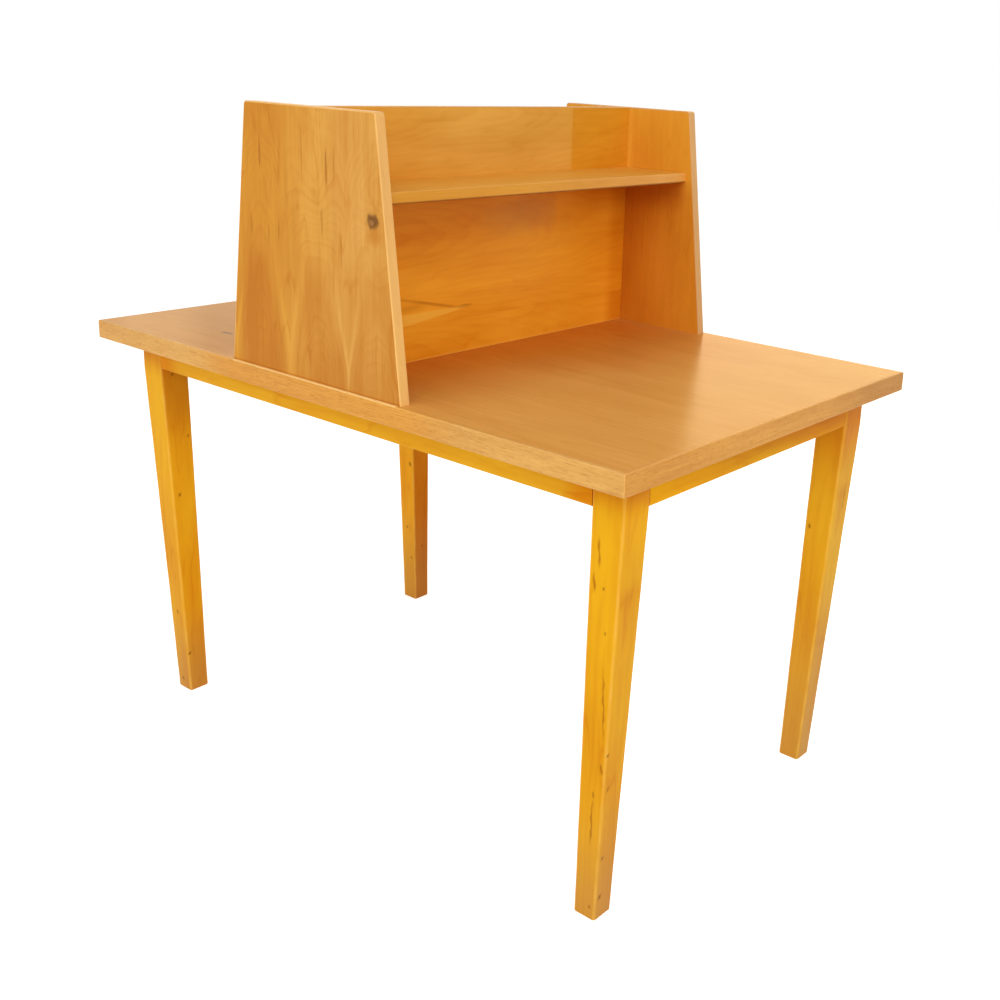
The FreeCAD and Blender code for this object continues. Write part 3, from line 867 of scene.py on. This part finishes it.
def board_veneer(woods):
    """Upper board of the divider: painted paler above the shelves, where the open light falls, and its
    right leaf of veneer less so.

    Below them are a slanting swirl over a pale wedge, a hook, a brown and a greyed patch, and
    shade in the right-hand corner and under the shelf. The swirl's line slants, so its spot is
    laid out in a sheared copy of the place.
    """
    board = Board("Upper board veneer", ALONG_X, (0.0, 0.0, BOARD_LEVEL), woods.pair("divider"))
    # Painted light: the same board is paler above the shelves than in the shade below them.
    painted_light_woods = board.blend(board.rise(board.x, -0.34, -0.05), PAINTED_LIGHT_LEFT, PAINTED_LIGHT_MIDDLE)
    right_leaf = board.rise(board.x, LEAF_JOINT - 4 * MM, LEAF_JOINT + 4 * MM)
    painted_light_woods = board.blend(right_leaf, painted_light_woods, PAINTED_LIGHT_RIGHT)
    board.dye(board.rise(board.z, SHELF_LEVEL, SHELF_LEVEL + 18 * MM), painted_light_woods)
    cut_divider(board, woods)

    def spot(across, height, half_width, half_height, ragged, place=None):
        centre = (height - BOARD_LEVEL, -DIVIDER_FACE, across)
        return board.spot(centre, (half_height, SKIN, half_width), ragged, place)

    sheared = board.plus(board.across, board.times(board.along, 0.21))
    sheared = board.combined(sheared, board.through, board.along)
    swirl = spot(-0.150, 0.813, 0.066, 0.0024, 0.5, sheared)
    hook = spot(-0.067, 0.832, 0.013, 0.0022, 0.5)
    brown = spot(-0.192, 0.842, 0.024, 0.0060, 0.4)
    grey = spot(0.080, 0.982, 0.085, 0.0280, 0.8)
    rising = board.minus(board.z, board.times(board.x, 0.11))
    wedge = board.times(
        board.rise(rising, 0.834, 0.837), board.fall(board.z, 0.830, 0.834),
        board.rise(board.x, -0.260, -0.205), board.fall(board.x, -0.085, -0.050),
        board.fall(board.y, -1 * MM, 1 * MM),
    )
    under = board.fall(board.z, SHELF_LEVEL - 4 * MM, SHELF_LEVEL)
    share = board.plus(board.times(under, 0.65), 0.35)
    corner = board.times(board.rise(board.x, *DIVIDER_CORNER), share)
    shade = board.times(
        board.rise(board.z, SHELF_LEVEL - 80 * MM, SHELF_LEVEL - 10 * MM),
        board.rise(board.x, 0.19, 0.28), under,
    )
    board.stain(wedge, 0.60, (1.0, 0.56, 0.070))
    board.stain(brown["Halo"], 0.40, (0.56, 0.195, 0.006))
    board.stain(swirl["Halo"], 0.70, LINE_BROWN)
    board.stain(hook["Halo"], 0.70, LINE_BROWN)
    board.stain(board.times(grey["Halo"], board.fall(board.x, 0.160, 0.176)), 0.42, (0.50, 0.200, 0.060))
    board.wash(corner, (0.88, 0.78, 0.50))
    board.wash(shade, (0.82, 0.68, 0.55))
    return board.lacquer(relief=0.12, gloss=0.20)


def shelf_veneer(woods):
    """Shelves: grain along the hutch."""
    shelf = Board("Shelf veneer", "yzx", (0.0, 0.0, 1.05), woods.pair("shelf"))
    shelf.cut(
        HUTCH_PORES, across=shelf.leaf(0.10, 0.0), depth=shelf.depth(0.05, 0.05), ring_width=0.007,
        waver=0.03, ring_contrast=0.3, streak_contrast=0.6, fibre_contrast=0.3, cloud_contrast=0.7,
        pore_strength=0.10, sheen=woods.sheen,
    )
    return shelf.lacquer(relief=0.10, gloss=0.25)


def cut_strip(strip, woods):
    """Figure of a thin strip on an edge of the hutch: straight and fine."""
    strip.cut(
        (0.50, 0.22, 0.05), depth=0.2, ring_width=0.003, waver=0.006, ring_contrast=0.35,
        streak_contrast=0.9, fibre_contrast=0.9, cloud_contrast=0.8, pore_share=0.34, pore_strength=0.20,
        sheen=woods.sheen + 0.05,
    )


def panel_strip(woods, side):
    """Strip round a side panel's edges, with a painted highlight along its own edges, and on the left paler
    at its foot.
    """
    strip = Board(f"Panel edge strip, {side}", "xyz", woods=STRIP_RIGHT)
    if side == "left":
        strip.woods = woods.pair("band")
        strip.dye(strip.fall(strip.z, TOP_LEVEL + 50 * MM, TOP_LEVEL + 300 * MM), STRIP_FOOT)
    cut_strip(strip, woods)
    # Painted highlight along the strip's own edges.
    strip.wear_and_highlight(box_of(f"side_panel_{side}")[0], (9 * MM, 0.0, 0.0), 1.6 * MM, 0.4, (0.90, 0.56, 0.22))
    return strip.lacquer(relief=0.2, gloss=0.35)


def divider_strip(woods):
    """Strip along the top of the divider."""
    strip = Board("Divider edge strip", "yzx", woods=woods.pair("band"))
    cut_strip(strip, woods)
    return strip.lacquer(relief=0.2, gloss=0.35)


def shelf_strip(woods):
    """Strips along the shelves' fronts, deeper on the left, with a painted shadow line along the bottom."""
    strip = Board("Shelf edge strip", ALONG_X, woods=SHELF_STRIP_LEFT)
    strip.dye(strip.rise(strip.x, -0.10, 0.36), SHELF_STRIP_RIGHT)
    cut_strip(strip, woods)
    middle, half_size = box_of("shelf_band_front", "shelf_band_back")
    bottom = middle[2] - half_size[2]
    # Painted highlight along the strip's edges.
    strip.wear_and_highlight(middle, half_size, 2.0 * MM, 0.15, (0.90, 0.50, 0.16))
    # Painted shadow: a dark line along the strip's bottom edge.
    strip.stain(strip.fall(strip.z, bottom + 1.4 * MM, bottom + 3.6 * MM), 0.80, (0.26, 0.065, 0.001))
    return strip.lacquer(relief=0.2, gloss=0.35)


def bare_wood(woods, name, axes):
    """Planed wood without stain or lacquer, for what is hidden under the top and inside the joints."""
    wood = Board(name, axes, woods=woods.pair("bare"))
    wood.cut(
        (0.34, 0.18, 0.07), across=wood.across, depth=wood.depth(0.04, 0.02), ring_width=0.004,
        waver=0.01, ring_contrast=0.6, streak_contrast=0.5, fibre_contrast=0.5, cloud_contrast=0.4,
        pore_share=0.34, pore_strength=0.2, sheen=0.68,
    )
    return wood.lacquer(relief=0.5, gloss=0.25)


def zinc_plate():
    """Zinc-plated steel of the screws, slightly clouded."""
    material = blank_material("Zinc plate")
    wiring = Wiring(material.node_tree)
    place = wiring.node("ShaderNodeTexCoord").outputs["Object"]
    cloud = wiring.noise(place, (2 * MM, 2 * MM, 2 * MM), 3.0, 0.6)[0]
    wiring.surface({
        "Metallic": 1.0, "Roughness": wiring.rise(cloud, 0.2, 0.8, 0.25, 0.5),
        "Base Color": wiring.mix(cloud, rgba((0.62, 0.60, 0.55)), rgba((0.44, 0.42, 0.37))),
    })
    return material


# ---- Surfaces ----

# Angles over which a board's edge is eased, and over which a new piece's edge stays sharp.
EASED_OVER = math.radians(40)
SHARP_OVER = math.radians(35)


def dress(node, material):
    """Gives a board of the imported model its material."""
    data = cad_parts[node].data
    data.materials.clear()
    data.materials.append(material)


def soften(node, width):
    """Eases every sharp edge of a plain board with modifiers, so that its edges catch the light."""
    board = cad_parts[node]
    weld = board.modifiers.new("Weld", "WELD")
    weld.merge_threshold = 0.01 * MM
    bevel = board.modifiers.new("Eased edges", "BEVEL")
    bevel.width = width
    bevel.segments = 2
    bevel.limit_method = "ANGLE"
    bevel.angle_limit = EASED_OVER


def placed(name, data):
    """New object in the scene."""
    made = bpy.data.objects.new(name, data)
    bpy.context.scene.collection.objects.link(made)
    return made


def add_piece(name, vertices, faces, material, slot, replaces=()):
    """New piece from arrays of places and of faces, smooth except at its sharp edges."""
    mesh = bpy.data.meshes.new(name)
    mesh.from_pydata(vertices.tolist(), [], faces)
    mesh.polygons.foreach_set("use_smooth", np.ones(len(mesh.polygons), dtype=bool))
    mesh.set_sharp_from_angle(angle=SHARP_OVER)
    mesh.materials.append(material)
    piece = placed(name, mesh)
    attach(piece, BODY)
    for node in replaces:
        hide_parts(node)
    return piece


def grid_quads(rows, columns, first=0):
    """Quads of a tube whose rows go up and whose columns go round, as indices from a first one."""
    row = first + np.arange(rows - 1)[:, None] * columns
    here = np.arange(columns)[None, :]
    following = (here + 1) % columns
    return np.stack([row + here, row + following, row + columns + following, row + columns + here], axis=-1)


def rounded_square(side_steps, corner_steps):
    """Once round a square with round corners, anticlockwise, as two arrays of unit vectors.

    A point of the outline is the half size less the radius times the first, plus the radius times
    the second: the first stays at a corner along an arc and moves straight between two corners.
    """
    inner = []
    outward = []
    corners = np.array([(1, 1), (-1, 1), (-1, -1), (1, -1)], dtype=float)
    for quarter in range(4):
        angles = np.linspace(0, math.pi / 2, corner_steps, endpoint=False) + quarter * math.pi / 2
        inner.append(np.repeat(corners[quarter:quarter + 1], corner_steps, axis=0))
        outward.append(np.stack([np.cos(angles), np.sin(angles)], axis=1))
        along = np.linspace(0, 1, side_steps, endpoint=False)[:, None]
        start, end = corners[quarter], corners[(quarter + 1) % 4]
        inner.append(start + (end - start) * along)
        turn = (quarter + 1) * math.pi / 2
        outward.append(np.repeat([[math.cos(turn), math.sin(turn)]], side_steps, axis=0))
    return np.concatenate(inner), np.concatenate(outward)


# ---- Legs ----

HEAD_SIZE = 58 * MM

# Place that the grain of the back right leg is laid out from, mirrored for the others.
GRAIN_MIDDLE = (0.31, 0.54, 0.3)

# Rows up the taper and up the head, and steps round a side and a corner.
TAPER_ROWS = 330
HEAD_ROWS = 28
SIDE_STEPS = 32
CORNER_STEPS = 6

# How far the waves go in and out, how far in they, a shake and a knot lie, and the height over
# which all of it fades.
WAVE_HEIGHT = 0.08 * MM
WAVE_DEPTH = 0.16 * MM
SHAKE_DEPTH = 0.5 * MM
KNOT_DEPTH = 0.25 * MM
FADE_LENGTH = 20 * MM


class Mark:
    """Knot or shake on one face of one leg, with its half width and half length, in millimetres.

    The face is "side" for the one towards the table's long edge, and "end" for the one towards
    its short edge, or "inner side" and "inner end" for those that look back under the table.
    Across is measured on it from the middle of the leg, and height from the floor. A leaning
    mark drifts across by its lean for every unit of height.
    """

    def __init__(self, kind, face, across, height, width, length, lean=0.0):
        self.kind = kind
        self.face = face
        self.across = across * MM
        self.height = height * MM
        self.width = width * MM
        self.length = length * MM
        self.lean = lean

    def weight(self, place, middle, outward):
        """One at the mark and nothing away from it, falling off as a bell in both directions."""
        run, facing = (1, 0) if self.face.endswith("side") else (0, 1)
        sign = np.sign(middle[0, facing]) * (-1 if self.face.startswith("inner") else 1)
        towards = np.clip((outward[:, facing] * sign - 0.6) / 0.3, 0, 1)
        up = place[..., 2] - self.height
        ragged = 0.6 * MM * np.sin(up / (7 * MM)) + 0.4 * MM * np.sin(up / (3.1 * MM))
        off = place[..., run] - middle[:, None, run] - self.across - self.lean * up - ragged
        width = self.width * (1 + 0.3 * np.sin(up / (4.3 * MM) + self.height / MM))
        return np.exp(-2.0 * ((off / width) ** 2 + (up / self.length) ** 4)) * towards[None, :]


MARKS = {
    "leg_front_left": [
        Mark("shake", "side", 10.9, 602, 2.4, 24, 0.07),
        Mark("shake", "side", 16.6, 555, 2.6, 16, 0.07),
        Mark("shake", "side", -12.5, 371, 1.9, 58, 0.07),
        Mark("shake", "side", -16.1, 266, 2.4, 10, 0.08),
        Mark("shake", "side", -3.9, 170, 1.9, 42, 0.016),
        Mark("knot", "side", -0.7, 550, 2.6, 2.8),
        Mark("knot", "side", -8.2, 483, 2.6, 2.8),
        Mark("knot", "side", -4.5, 218, 2.6, 5.4),
        Mark("knot", "side", -10.0, 22, 2.6, 3.0),
        Mark("knot", "end", -20.0, 290, 2.6, 2.8),
        Mark("knot", "end", -13.0, 231, 2.8, 5.6),
        Mark("knot", "end", -12.0, 110, 3.0, 3.4),
        Mark("knot", "end", -11.0, 40, 3.6, 4.8),
    ],
    "leg_back_left": [
        Mark("knot", "inner end", 17.6, 526, 3.0, 3.4),
        Mark("knot", "inner end", -10.1, 413, 4.6, 4.0),
        Mark("knot", "inner end", -5.8, 651, 4.6, 3.0),
        Mark("knot", "inner end", -16.1, 81, 5.0, 3.0),
        Mark("knot", "side", -1.6, 167, 3.4, 5.0),
        Mark("knot", "side", 2.7, 21, 3.2, 4.2),
    ],
    "leg_back_right": [
        Mark("knot", "inner side", -14.0, 334, 3.6, 5.6),
        Mark("knot", "inner side", 1.2, 177, 2.6, 3.0),
        Mark("knot", "inner side", -9.8, 103, 2.6, 3.0),
        Mark("knot", "inner end", 0.9, 130, 2.6, 4.0),
        Mark("shake", "end", 6.0, 300, 1.8, 26, 0.02),
    ],
    "leg_front_right": [
        Mark("knot", "inner side", 16.4, 467, 2.6, 5.0),
        Mark("shake", "end", 5.0, 520, 1.8, 22, 0.02),
    ],
}


def leg_surface(side, end, settings, leg_name):
    """Tapered leg as one closed surface, with the strength of its knots, shakes and painted highlight at
    every point.

    A round-cornered square is carried up through four stations: the sole, the top of the foot's
    chamfer, the end of the taper and the head. Between two stations everything changes in
    proportion to height. Marks press the surface in and hand planing leaves it faintly wavy, and
    both fade out towards the sole and the aprons' lower edge.
    """
    low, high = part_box(leg_name)
    apron_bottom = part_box("apron_left")[0].z
    outer = np.array([high.x if side > 0 else low.x, high.y if end > 0 else low.y])
    out = np.array([side, end])
    chamfer = settings.foot_chamfer
    half_foot = settings.foot_size / 2
    head = outer - out * HEAD_SIZE / 2
    foot = outer - out * (np.array([settings.foot_draw, settings.foot_lean]) + half_foot)
    taper_end = apron_bottom - settings.taper_drop
    station_z = np.array([0.0, chamfer, taper_end, high.z])
    station_half = np.array([half_foot - chamfer, half_foot, HEAD_SIZE / 2, HEAD_SIZE / 2])
    station_radius = np.array([settings.leg_arris - chamfer] + [settings.leg_arris] * 3)
    station_middle = np.array([foot, foot, head, head])

    tapered = np.linspace(chamfer, taper_end, TAPER_ROWS)
    z = np.concatenate([[0.0], tapered, np.linspace(taper_end, high.z, HEAD_ROWS)[1:]])
    half = np.interp(z, station_z, station_half)
    radius = np.interp(z, station_z, station_radius)
    middle = np.stack([np.interp(z, station_z, station_middle[:, i]) for i in (0, 1)], axis=1)
    inner, outward = rounded_square(SIDE_STEPS, CORNER_STEPS)
    plan = (
        middle[:, None, :]
        + (half - radius)[:, None, None] * inner[None]
        + radius[:, None, None] * outward[None]
    )
    height = z[:, None]
    place = np.concatenate([plan, np.broadcast_to(height[..., None], plan.shape[:2] + (1,))], axis=2)

    marks = {"knot": np.zeros(place.shape[:2]), "shake": np.zeros(place.shape[:2])}
    for mark in MARKS[leg_name]:
        marks[mark.kind] = np.maximum(marks[mark.kind], mark.weight(place, middle, outward))
    turn = np.linspace(0, 2 * math.pi, len(inner), endpoint=False)[None, :]
    seed = 1.3 * side + 2.1 * end
    # Painted highlight along the rounded arrises, strongest where the outline turns a corner.
    corner = 2 * np.abs(outward[:, 0] * outward[:, 1])[None, :]
    marks["arris_highlight"] = corner * (0.75 + 0.25 * np.sin(height * 37 + seed) * np.sin(height * 91 + 2 * turn))
    wave = np.sin(height * 61 + 2 * turn + seed) + np.sin(height * 23 - turn + 2 * seed)
    press = WAVE_HEIGHT * wave - WAVE_DEPTH - SHAKE_DEPTH * marks["shake"] - KNOT_DEPTH * marks["knot"]
    fade = np.clip(height / FADE_LENGTH, 0, 1) * np.clip((apron_bottom - height) / FADE_LENGTH, 0, 1)
    place[..., :2] += outward[None] * (press * fade)[..., None]

    rows, columns = place.shape[:2]
    faces = grid_quads(rows, columns).reshape(-1, 4).tolist()
    faces.append(list(range(columns))[::-1])
    faces.append(list(range((rows - 1) * columns, rows * columns)))
    return place.reshape(-1, 3), faces, marks


# ---- Screws ----

# Shares of a head's radius: its height, the cross's depth, and where a bar's side and end fade.
DOME = 0.52
RECESS = 0.34
BAR_SIDE = (0.10, 0.20)
BAR_END = (0.48, 0.60)

# Screws from the apron's face, and from the middle of a block's face.
BUTTON_SCREW_REACH = 26 * MM
BLOCK_SCREW_STEP = 26 * MM


def screw_head(radius, steps_out=14, steps_round=40):
    """Domed head with a cross recess, on a flat seat at z = 0 and pointing up.

    Height over the seat is a flattened dome of the distance from the axis, less a cross whose two
    bars fade out smoothly at their sides and ends.
    """
    out = np.linspace(0, 1, steps_out)[1:, None] * radius
    turn = np.linspace(0, 2 * math.pi, steps_round, endpoint=False)[None, :]
    x = out * np.cos(turn)
    y = out * np.sin(turn)
    dome = DOME * radius * np.sqrt(np.clip(1 - (out / radius) ** 4, 0, 1)) * np.ones_like(x)

    def fade(value, ends):
        start, stop = ends[0] * radius, ends[1] * radius
        share = np.clip((np.abs(value) - start) / (stop - start), 0, 1)
        return 1 - share * share * (3 - 2 * share)

    cross = np.maximum(fade(x, BAR_SIDE) * fade(y, BAR_END), fade(y, BAR_SIDE) * fade(x, BAR_END))
    rings = np.stack([x, y, dome - RECESS * radius * cross], axis=-1).reshape(-1, 3)
    middle = np.array([[0, 0, (DOME - RECESS) * radius]])
    here = np.arange(steps_round)
    fan = np.stack([np.zeros_like(here), 1 + here, 1 + (here + 1) % steps_round], axis=1).tolist()
    quads = grid_quads(steps_out - 1, steps_round, 1)[..., [0, 3, 2, 1]].reshape(-1, 4).tolist()
    seat = (1 + (steps_out - 2) * steps_round + here[::-1]).tolist()
    return np.concatenate([middle, rings]), fan + quads + [seat]


def placed_copies(vertices, faces, places):
    """Copies of one shape, each turned so that its +Z points along a direction, as one mesh."""
    all_vertices = []
    all_faces = []
    for count, (origin, direction) in enumerate(places):
        turn = np.array(Vector(direction).to_track_quat("Z", "Y").to_matrix())
        all_vertices.append(vertices @ turn.T + np.array(origin))
        base = count * len(vertices)
        all_faces += [[base + i for i in face] for face in faces]
    return np.concatenate(all_vertices), all_faces


def spread(extent, count):
    """Places of count things, evenly spaced along an extent about its middle."""
    return [extent * ((i + 0.5) / count - 0.5) for i in range(count)]


def button_screw_places():
    """Seats of the screws under the buttons that hold the top down, with the way each head points."""
    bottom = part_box("top_buttons")[0].z
    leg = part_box("leg_front_left")[0]
    clear_y = 2 * (-leg.y - HEAD_SIZE)
    clear_x = 2 * (-leg.x - HEAD_SIZE)
    reach_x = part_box("apron_right")[0].x - BUTTON_SCREW_REACH
    reach_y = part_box("apron_back")[0].y - BUTTON_SCREW_REACH
    places = []
    for sign in (-1, 1):
        places += [((sign * reach_x, y, bottom), (0, 0, -1)) for y in spread(clear_y, 4)]
        places += [((x, sign * reach_y, bottom), (0, 0, -1)) for x in spread(clear_x, 2)]
    return places


def block_screw_places():
    """Seats of the two screws in the slanting face of each corner block."""
    places = []
    for end_name, end in ENDS.items():
        for side_name, side in SIDES.items():
            low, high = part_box(f"corner_block_{end_name}_{side_name}")
            outer_x = high.x if side > 0 else low.x
            outer_y = high.y if end > 0 else low.y
            across = Vector((-side * (high.x - low.x), 0, 0))
            along = Vector((0, -end * (high.y - low.y), 0))
            middle = Vector((outer_x, outer_y, (low.z + high.z) / 2)) + (across + along) / 2
            run = (across - along).normalized()
            inward = Vector((-side, -end, 0)).normalized()
            for step in (-BLOCK_SCREW_STEP, BLOCK_SCREW_STEP):
                places.append((tuple(middle + run * step), tuple(inward)))
    return places


# ---- Operators ----

class DESK_OT_top(Operator):
    """Veneers, core and lipping of the table's top"""

    bl_idname = "desk.top"
    bl_label = "Top"

    def execute(self, context):
        woods = context.scene.desk_wood
        dress("top_face_veneer", top_veneer(woods))
        dress("top_backing_veneer", bare_wood(woods, "Backing veneer", "xzy"))
        dress("top_core", bare_wood(woods, "Board core", "xzy"))
        for name in (*SIDES, *ENDS):
            axes, amber = (ALONG_Y, 0.0) if name in SIDES else (ALONG_X, 0.65)
            dress(f"lipping_{name}", lipping_oak(woods, f"Lipping, {name}", axes, amber))
        return {"FINISHED"}


class DESK_OT_legs(Operator):
    """Four tapered legs with their knots and shakes"""

    bl_idname = "desk.legs"
    bl_label = "Legs"

    def execute(self, context):
        woods = context.scene.desk_wood
        for end_name, end in ENDS.items():
            for side_name, side in SIDES.items():
                node = f"leg_{end_name}_{side_name}"
                origin = (GRAIN_MIDDLE[0] * side, GRAIN_MIDDLE[1] * end, GRAIN_MIDDLE[2])
                material = leg_pine(woods, f"Leg pine, {end_name} {side_name}", origin, LEG_PAINTED_LIGHT[node])
                vertices, faces, marks = leg_surface(side, end, context.scene.desk_shape, node)
                piece = add_piece(f"planed_{node}", vertices, faces, material, "stained_pine", [node])
                for name, values in marks.items():
                    layer = piece.data.attributes.new(name, "FLOAT", "POINT")
                    layer.data.foreach_set("value", values.ravel().astype(np.float32))
        return {"FINISHED"}


class DESK_OT_aprons(Operator):
    """Aprons between the legs"""

    bl_idname = "desk.aprons"
    bl_label = "Aprons"

    def execute(self, context):
        for name in (*SIDES, *ENDS):
            axes = ALONG_Y if name in SIDES else ALONG_X
            dress(f"apron_{name}", apron_pine(context.scene.desk_wood, f"Apron pine, {name}", axes))
            soften(f"apron_{name}", context.scene.desk_shape.edge_softness / 2)
        return {"FINISHED"}


class DESK_OT_fixings(Operator):
    """Corner blocks, buttons, loose tenons and the screws under the top"""

    bl_idname = "desk.fixings"
    bl_label = "Fixings"

    def execute(self, context):
        woods = context.scene.desk_wood
        shapes = context.scene.desk_shape
        block_wood = bare_wood(woods, "Block pine", ALONG_X)
        for end in ENDS:
            for side in SIDES:
                dress(f"corner_block_{end}_{side}", block_wood)
                soften(f"corner_block_{end}_{side}", shapes.edge_softness)
        beech = bare_wood(woods, "Beech", "yzx")
        for node in ("top_buttons", "hutch_tenons", "shelf_tenons"):
            dress(node, beech)
        soften("top_buttons", shapes.edge_softness)
        zinc = zinc_plate()
        head = screw_head(shapes.screw_head / 2)
        add_piece("button_screw_heads", *placed_copies(*head, button_screw_places()), zinc, "beech")
        add_piece("block_screw_heads", *placed_copies(*head, block_screw_places()), zinc, "bare_pine")
        return {"FINISHED"}


class DESK_OT_side_panels(Operator):
    """Sloping side panels of the hutch and their edge strips"""

    bl_idname = "desk.side_panels"
    bl_label = "Side panels"

    def execute(self, context):
        woods = context.scene.desk_wood
        dress("side_panel_left", panel_veneer(woods))
        dress("side_panel_right", plain_panel_veneer(woods))
        for name in SIDES:
            dress(f"side_panel_band_{name}", panel_strip(woods, name))
        return {"FINISHED"}


class DESK_OT_divider(Operator):
    """Two boards of the divider and its edge strip"""

    bl_idname = "desk.divider"
    bl_label = "Divider"

    def execute(self, context):
        woods = context.scene.desk_wood
        dress("divider_lower_rail", rail_veneer(woods))
        dress("divider_upper_board", board_veneer(woods))
        dress("divider_top_band", divider_strip(woods))
        for node in ("divider_lower_rail", "divider_upper_board"):
            soften(node, context.scene.desk_shape.edge_softness / 2)
        return {"FINISHED"}


class DESK_OT_shelves(Operator):
    """Shelves and their edge strips"""

    bl_idname = "desk.shelves"
    bl_label = "Shelves"

    def execute(self, context):
        board = shelf_veneer(context.scene.desk_wood)
        strip = shelf_strip(context.scene.desk_wood)
        for end in ENDS:
            dress(f"shelf_{end}", board)
            dress(f"shelf_band_{end}", strip)
        return {"FINISHED"}


class DESK_OT_studio(Operator):
    """Camera, floor, surround and lights"""

    bl_idname = "desk.studio"
    bl_label = "Studio"

    def execute(self, context):
        studio = context.scene.desk_studio
        context.scene.view_settings.view_transform = "Standard"
        context.scene.camera = studio_camera(studio)
        studio_floor()
        studio_surround(context.scene, studio)
        warm = studio.window_colour
        soft_light("Key light", (-2.4, -1.8, 3.0), 2.6, studio.key_power)
        soft_light("Fill light", (-0.6, -2.9, 2.4), 2.4, studio.fill_power)
        soft_light("Side light", (-3.2, 0.6, 1.4), 2.2, studio.side_power)
        soft_light("Right window light", (3.0, 0.7, 1.7), 2.0, studio.window_power, warm)
        soft_light("Back window light", (1.2, 3.1, 1.7), 2.0, 0.35 * studio.window_power, warm)
        return {"FINISHED"}


def studio_camera(studio):
    """Camera from its place, heading, dip and roll."""
    heading, dip, roll = studio.heading, studio.dip, studio.roll
    ahead = Vector((math.sin(heading) * math.cos(dip), math.cos(heading) * math.cos(dip), -math.sin(dip)))
    level = Vector((math.cos(heading), -math.sin(heading), 0.0))
    upright = level.cross(ahead)
    right = level * math.cos(roll) + upright * math.sin(roll)
    up = upright * math.cos(roll) - level * math.sin(roll)
    data = bpy.data.cameras.new("Camera")
    data.lens = studio.focal_length
    data.sensor_width = 36.0
    data.shift_x = studio.shift_across
    data.shift_y = studio.shift_up
    camera = placed("Camera", data)
    turn = Matrix((right, up, -ahead)).transposed().to_4x4()
    camera.matrix_world = Matrix.Translation(Vector(studio.camera_place)) @ turn
    return camera


def seen_white(wiring):
    """One for rays from the camera, mirrors and glass, and nothing for the light on the wood."""
    path = wiring.node("ShaderNodeLightPath").outputs
    seen = wiring.math("MAXIMUM", path["Is Camera Ray"], path["Is Glossy Ray"])
    return wiring.math("MAXIMUM", seen, path["Is Transmission Ray"])


def studio_floor():
    """Plain pale floor, which keeps the table's shadow."""
    half = 9.0
    mesh = bpy.data.meshes.new("studio_floor")
    corners = [(-half, -half, 0), (half, -half, 0), (half, half, 0), (-half, half, 0)]
    mesh.from_pydata(corners, [], [(0, 1, 2, 3)])
    material = blank_material("Studio floor")
    wiring = Wiring(material.node_tree)
    wiring.surface({
        "Base Color": rgba((0.86, 0.86, 0.86)), "Roughness": 0.9, "Emission Color": rgba((1.0, 1.0, 1.0)),
        "Emission Strength": wiring.times(seen_white(wiring), 0.66),
    })
    mesh.materials.append(material)
    return placed("studio_floor", mesh)


def studio_surround(scene, studio):
    """White all round to the eye, and a soft even light on the table."""
    scene.world = bpy.data.worlds.new("Studio surround")
    scene.world.use_nodes = True
    scene.world.node_tree.nodes.clear()
    wiring = Wiring(scene.world.node_tree)
    strength = wiring.rise(seen_white(wiring), 0.0, 1.0, studio.surround, 1.0)
    background = wiring.node("ShaderNodeBackground", rgba((1.0, 1.0, 1.0)), strength)
    wiring.join(background.outputs[0], wiring.node("ShaderNodeOutputWorld").inputs["Surface"])


def soft_light(name, place, size, watts, tint=(1.0, 1.0, 1.0)):
    """Square soft light that points at the middle of the table."""
    data = bpy.data.lights.new(name, "AREA")
    data.energy = watts
    data.size = size
    data.color = tint
    light = placed(name, data)
    light.location = place
    aim = Vector((0.0, 0.0, 0.7)) - Vector(place)
    light.rotation_euler = aim.to_track_quat("-Z", "Y").to_euler()
    light.visible_camera = False


class DESK_PT_sidebar(Panel):
    """Study table"""

    bl_label = "Study table"
    bl_idname = "DESK_PT_sidebar"
    bl_space_type = "VIEW_3D"
    bl_region_type = "UI"
    bl_category = "Study table"

    def draw(self, context):
        for operator in OPERATORS:
            self.layout.operator(operator.bl_idname)
        for settings in (context.scene.desk_wood, context.scene.desk_shape, context.scene.desk_studio):
            box = self.layout.box()
            for name in settings.bl_rna.properties.keys():
                if name not in ("rna_type", "name"):
                    box.prop(settings, name)


SETTINGS = (WoodSettings, ShapeSettings, StudioSettings)
OPERATORS = (
    DESK_OT_top,
    DESK_OT_legs,
    DESK_OT_aprons,
    DESK_OT_fixings,
    DESK_OT_side_panels,
    DESK_OT_divider,
    DESK_OT_shelves,
    DESK_OT_studio,
)


def register():
    for cls in (*SETTINGS, *OPERATORS, DESK_PT_sidebar):
        bpy.utils.register_class(cls)
    bpy.types.Scene.desk_wood = PointerProperty(type=WoodSettings)
    bpy.types.Scene.desk_shape = PointerProperty(type=ShapeSettings)
    bpy.types.Scene.desk_studio = PointerProperty(type=StudioSettings)


def unregister():
    del bpy.types.Scene.desk_wood
    del bpy.types.Scene.desk_shape
    del bpy.types.Scene.desk_studio
    for cls in (DESK_PT_sidebar, *OPERATORS[::-1], *SETTINGS[::-1]):
        bpy.utils.unregister_class(cls)


def main():
    register()
    bpy.ops.desk.top()
    bpy.ops.desk.legs()
    bpy.ops.desk.aprons()
    bpy.ops.desk.fixings()
    bpy.ops.desk.side_panels()
    bpy.ops.desk.divider()
    bpy.ops.desk.shelves()
    bpy.ops.desk.studio()


if __name__ == "__main__":
    main()
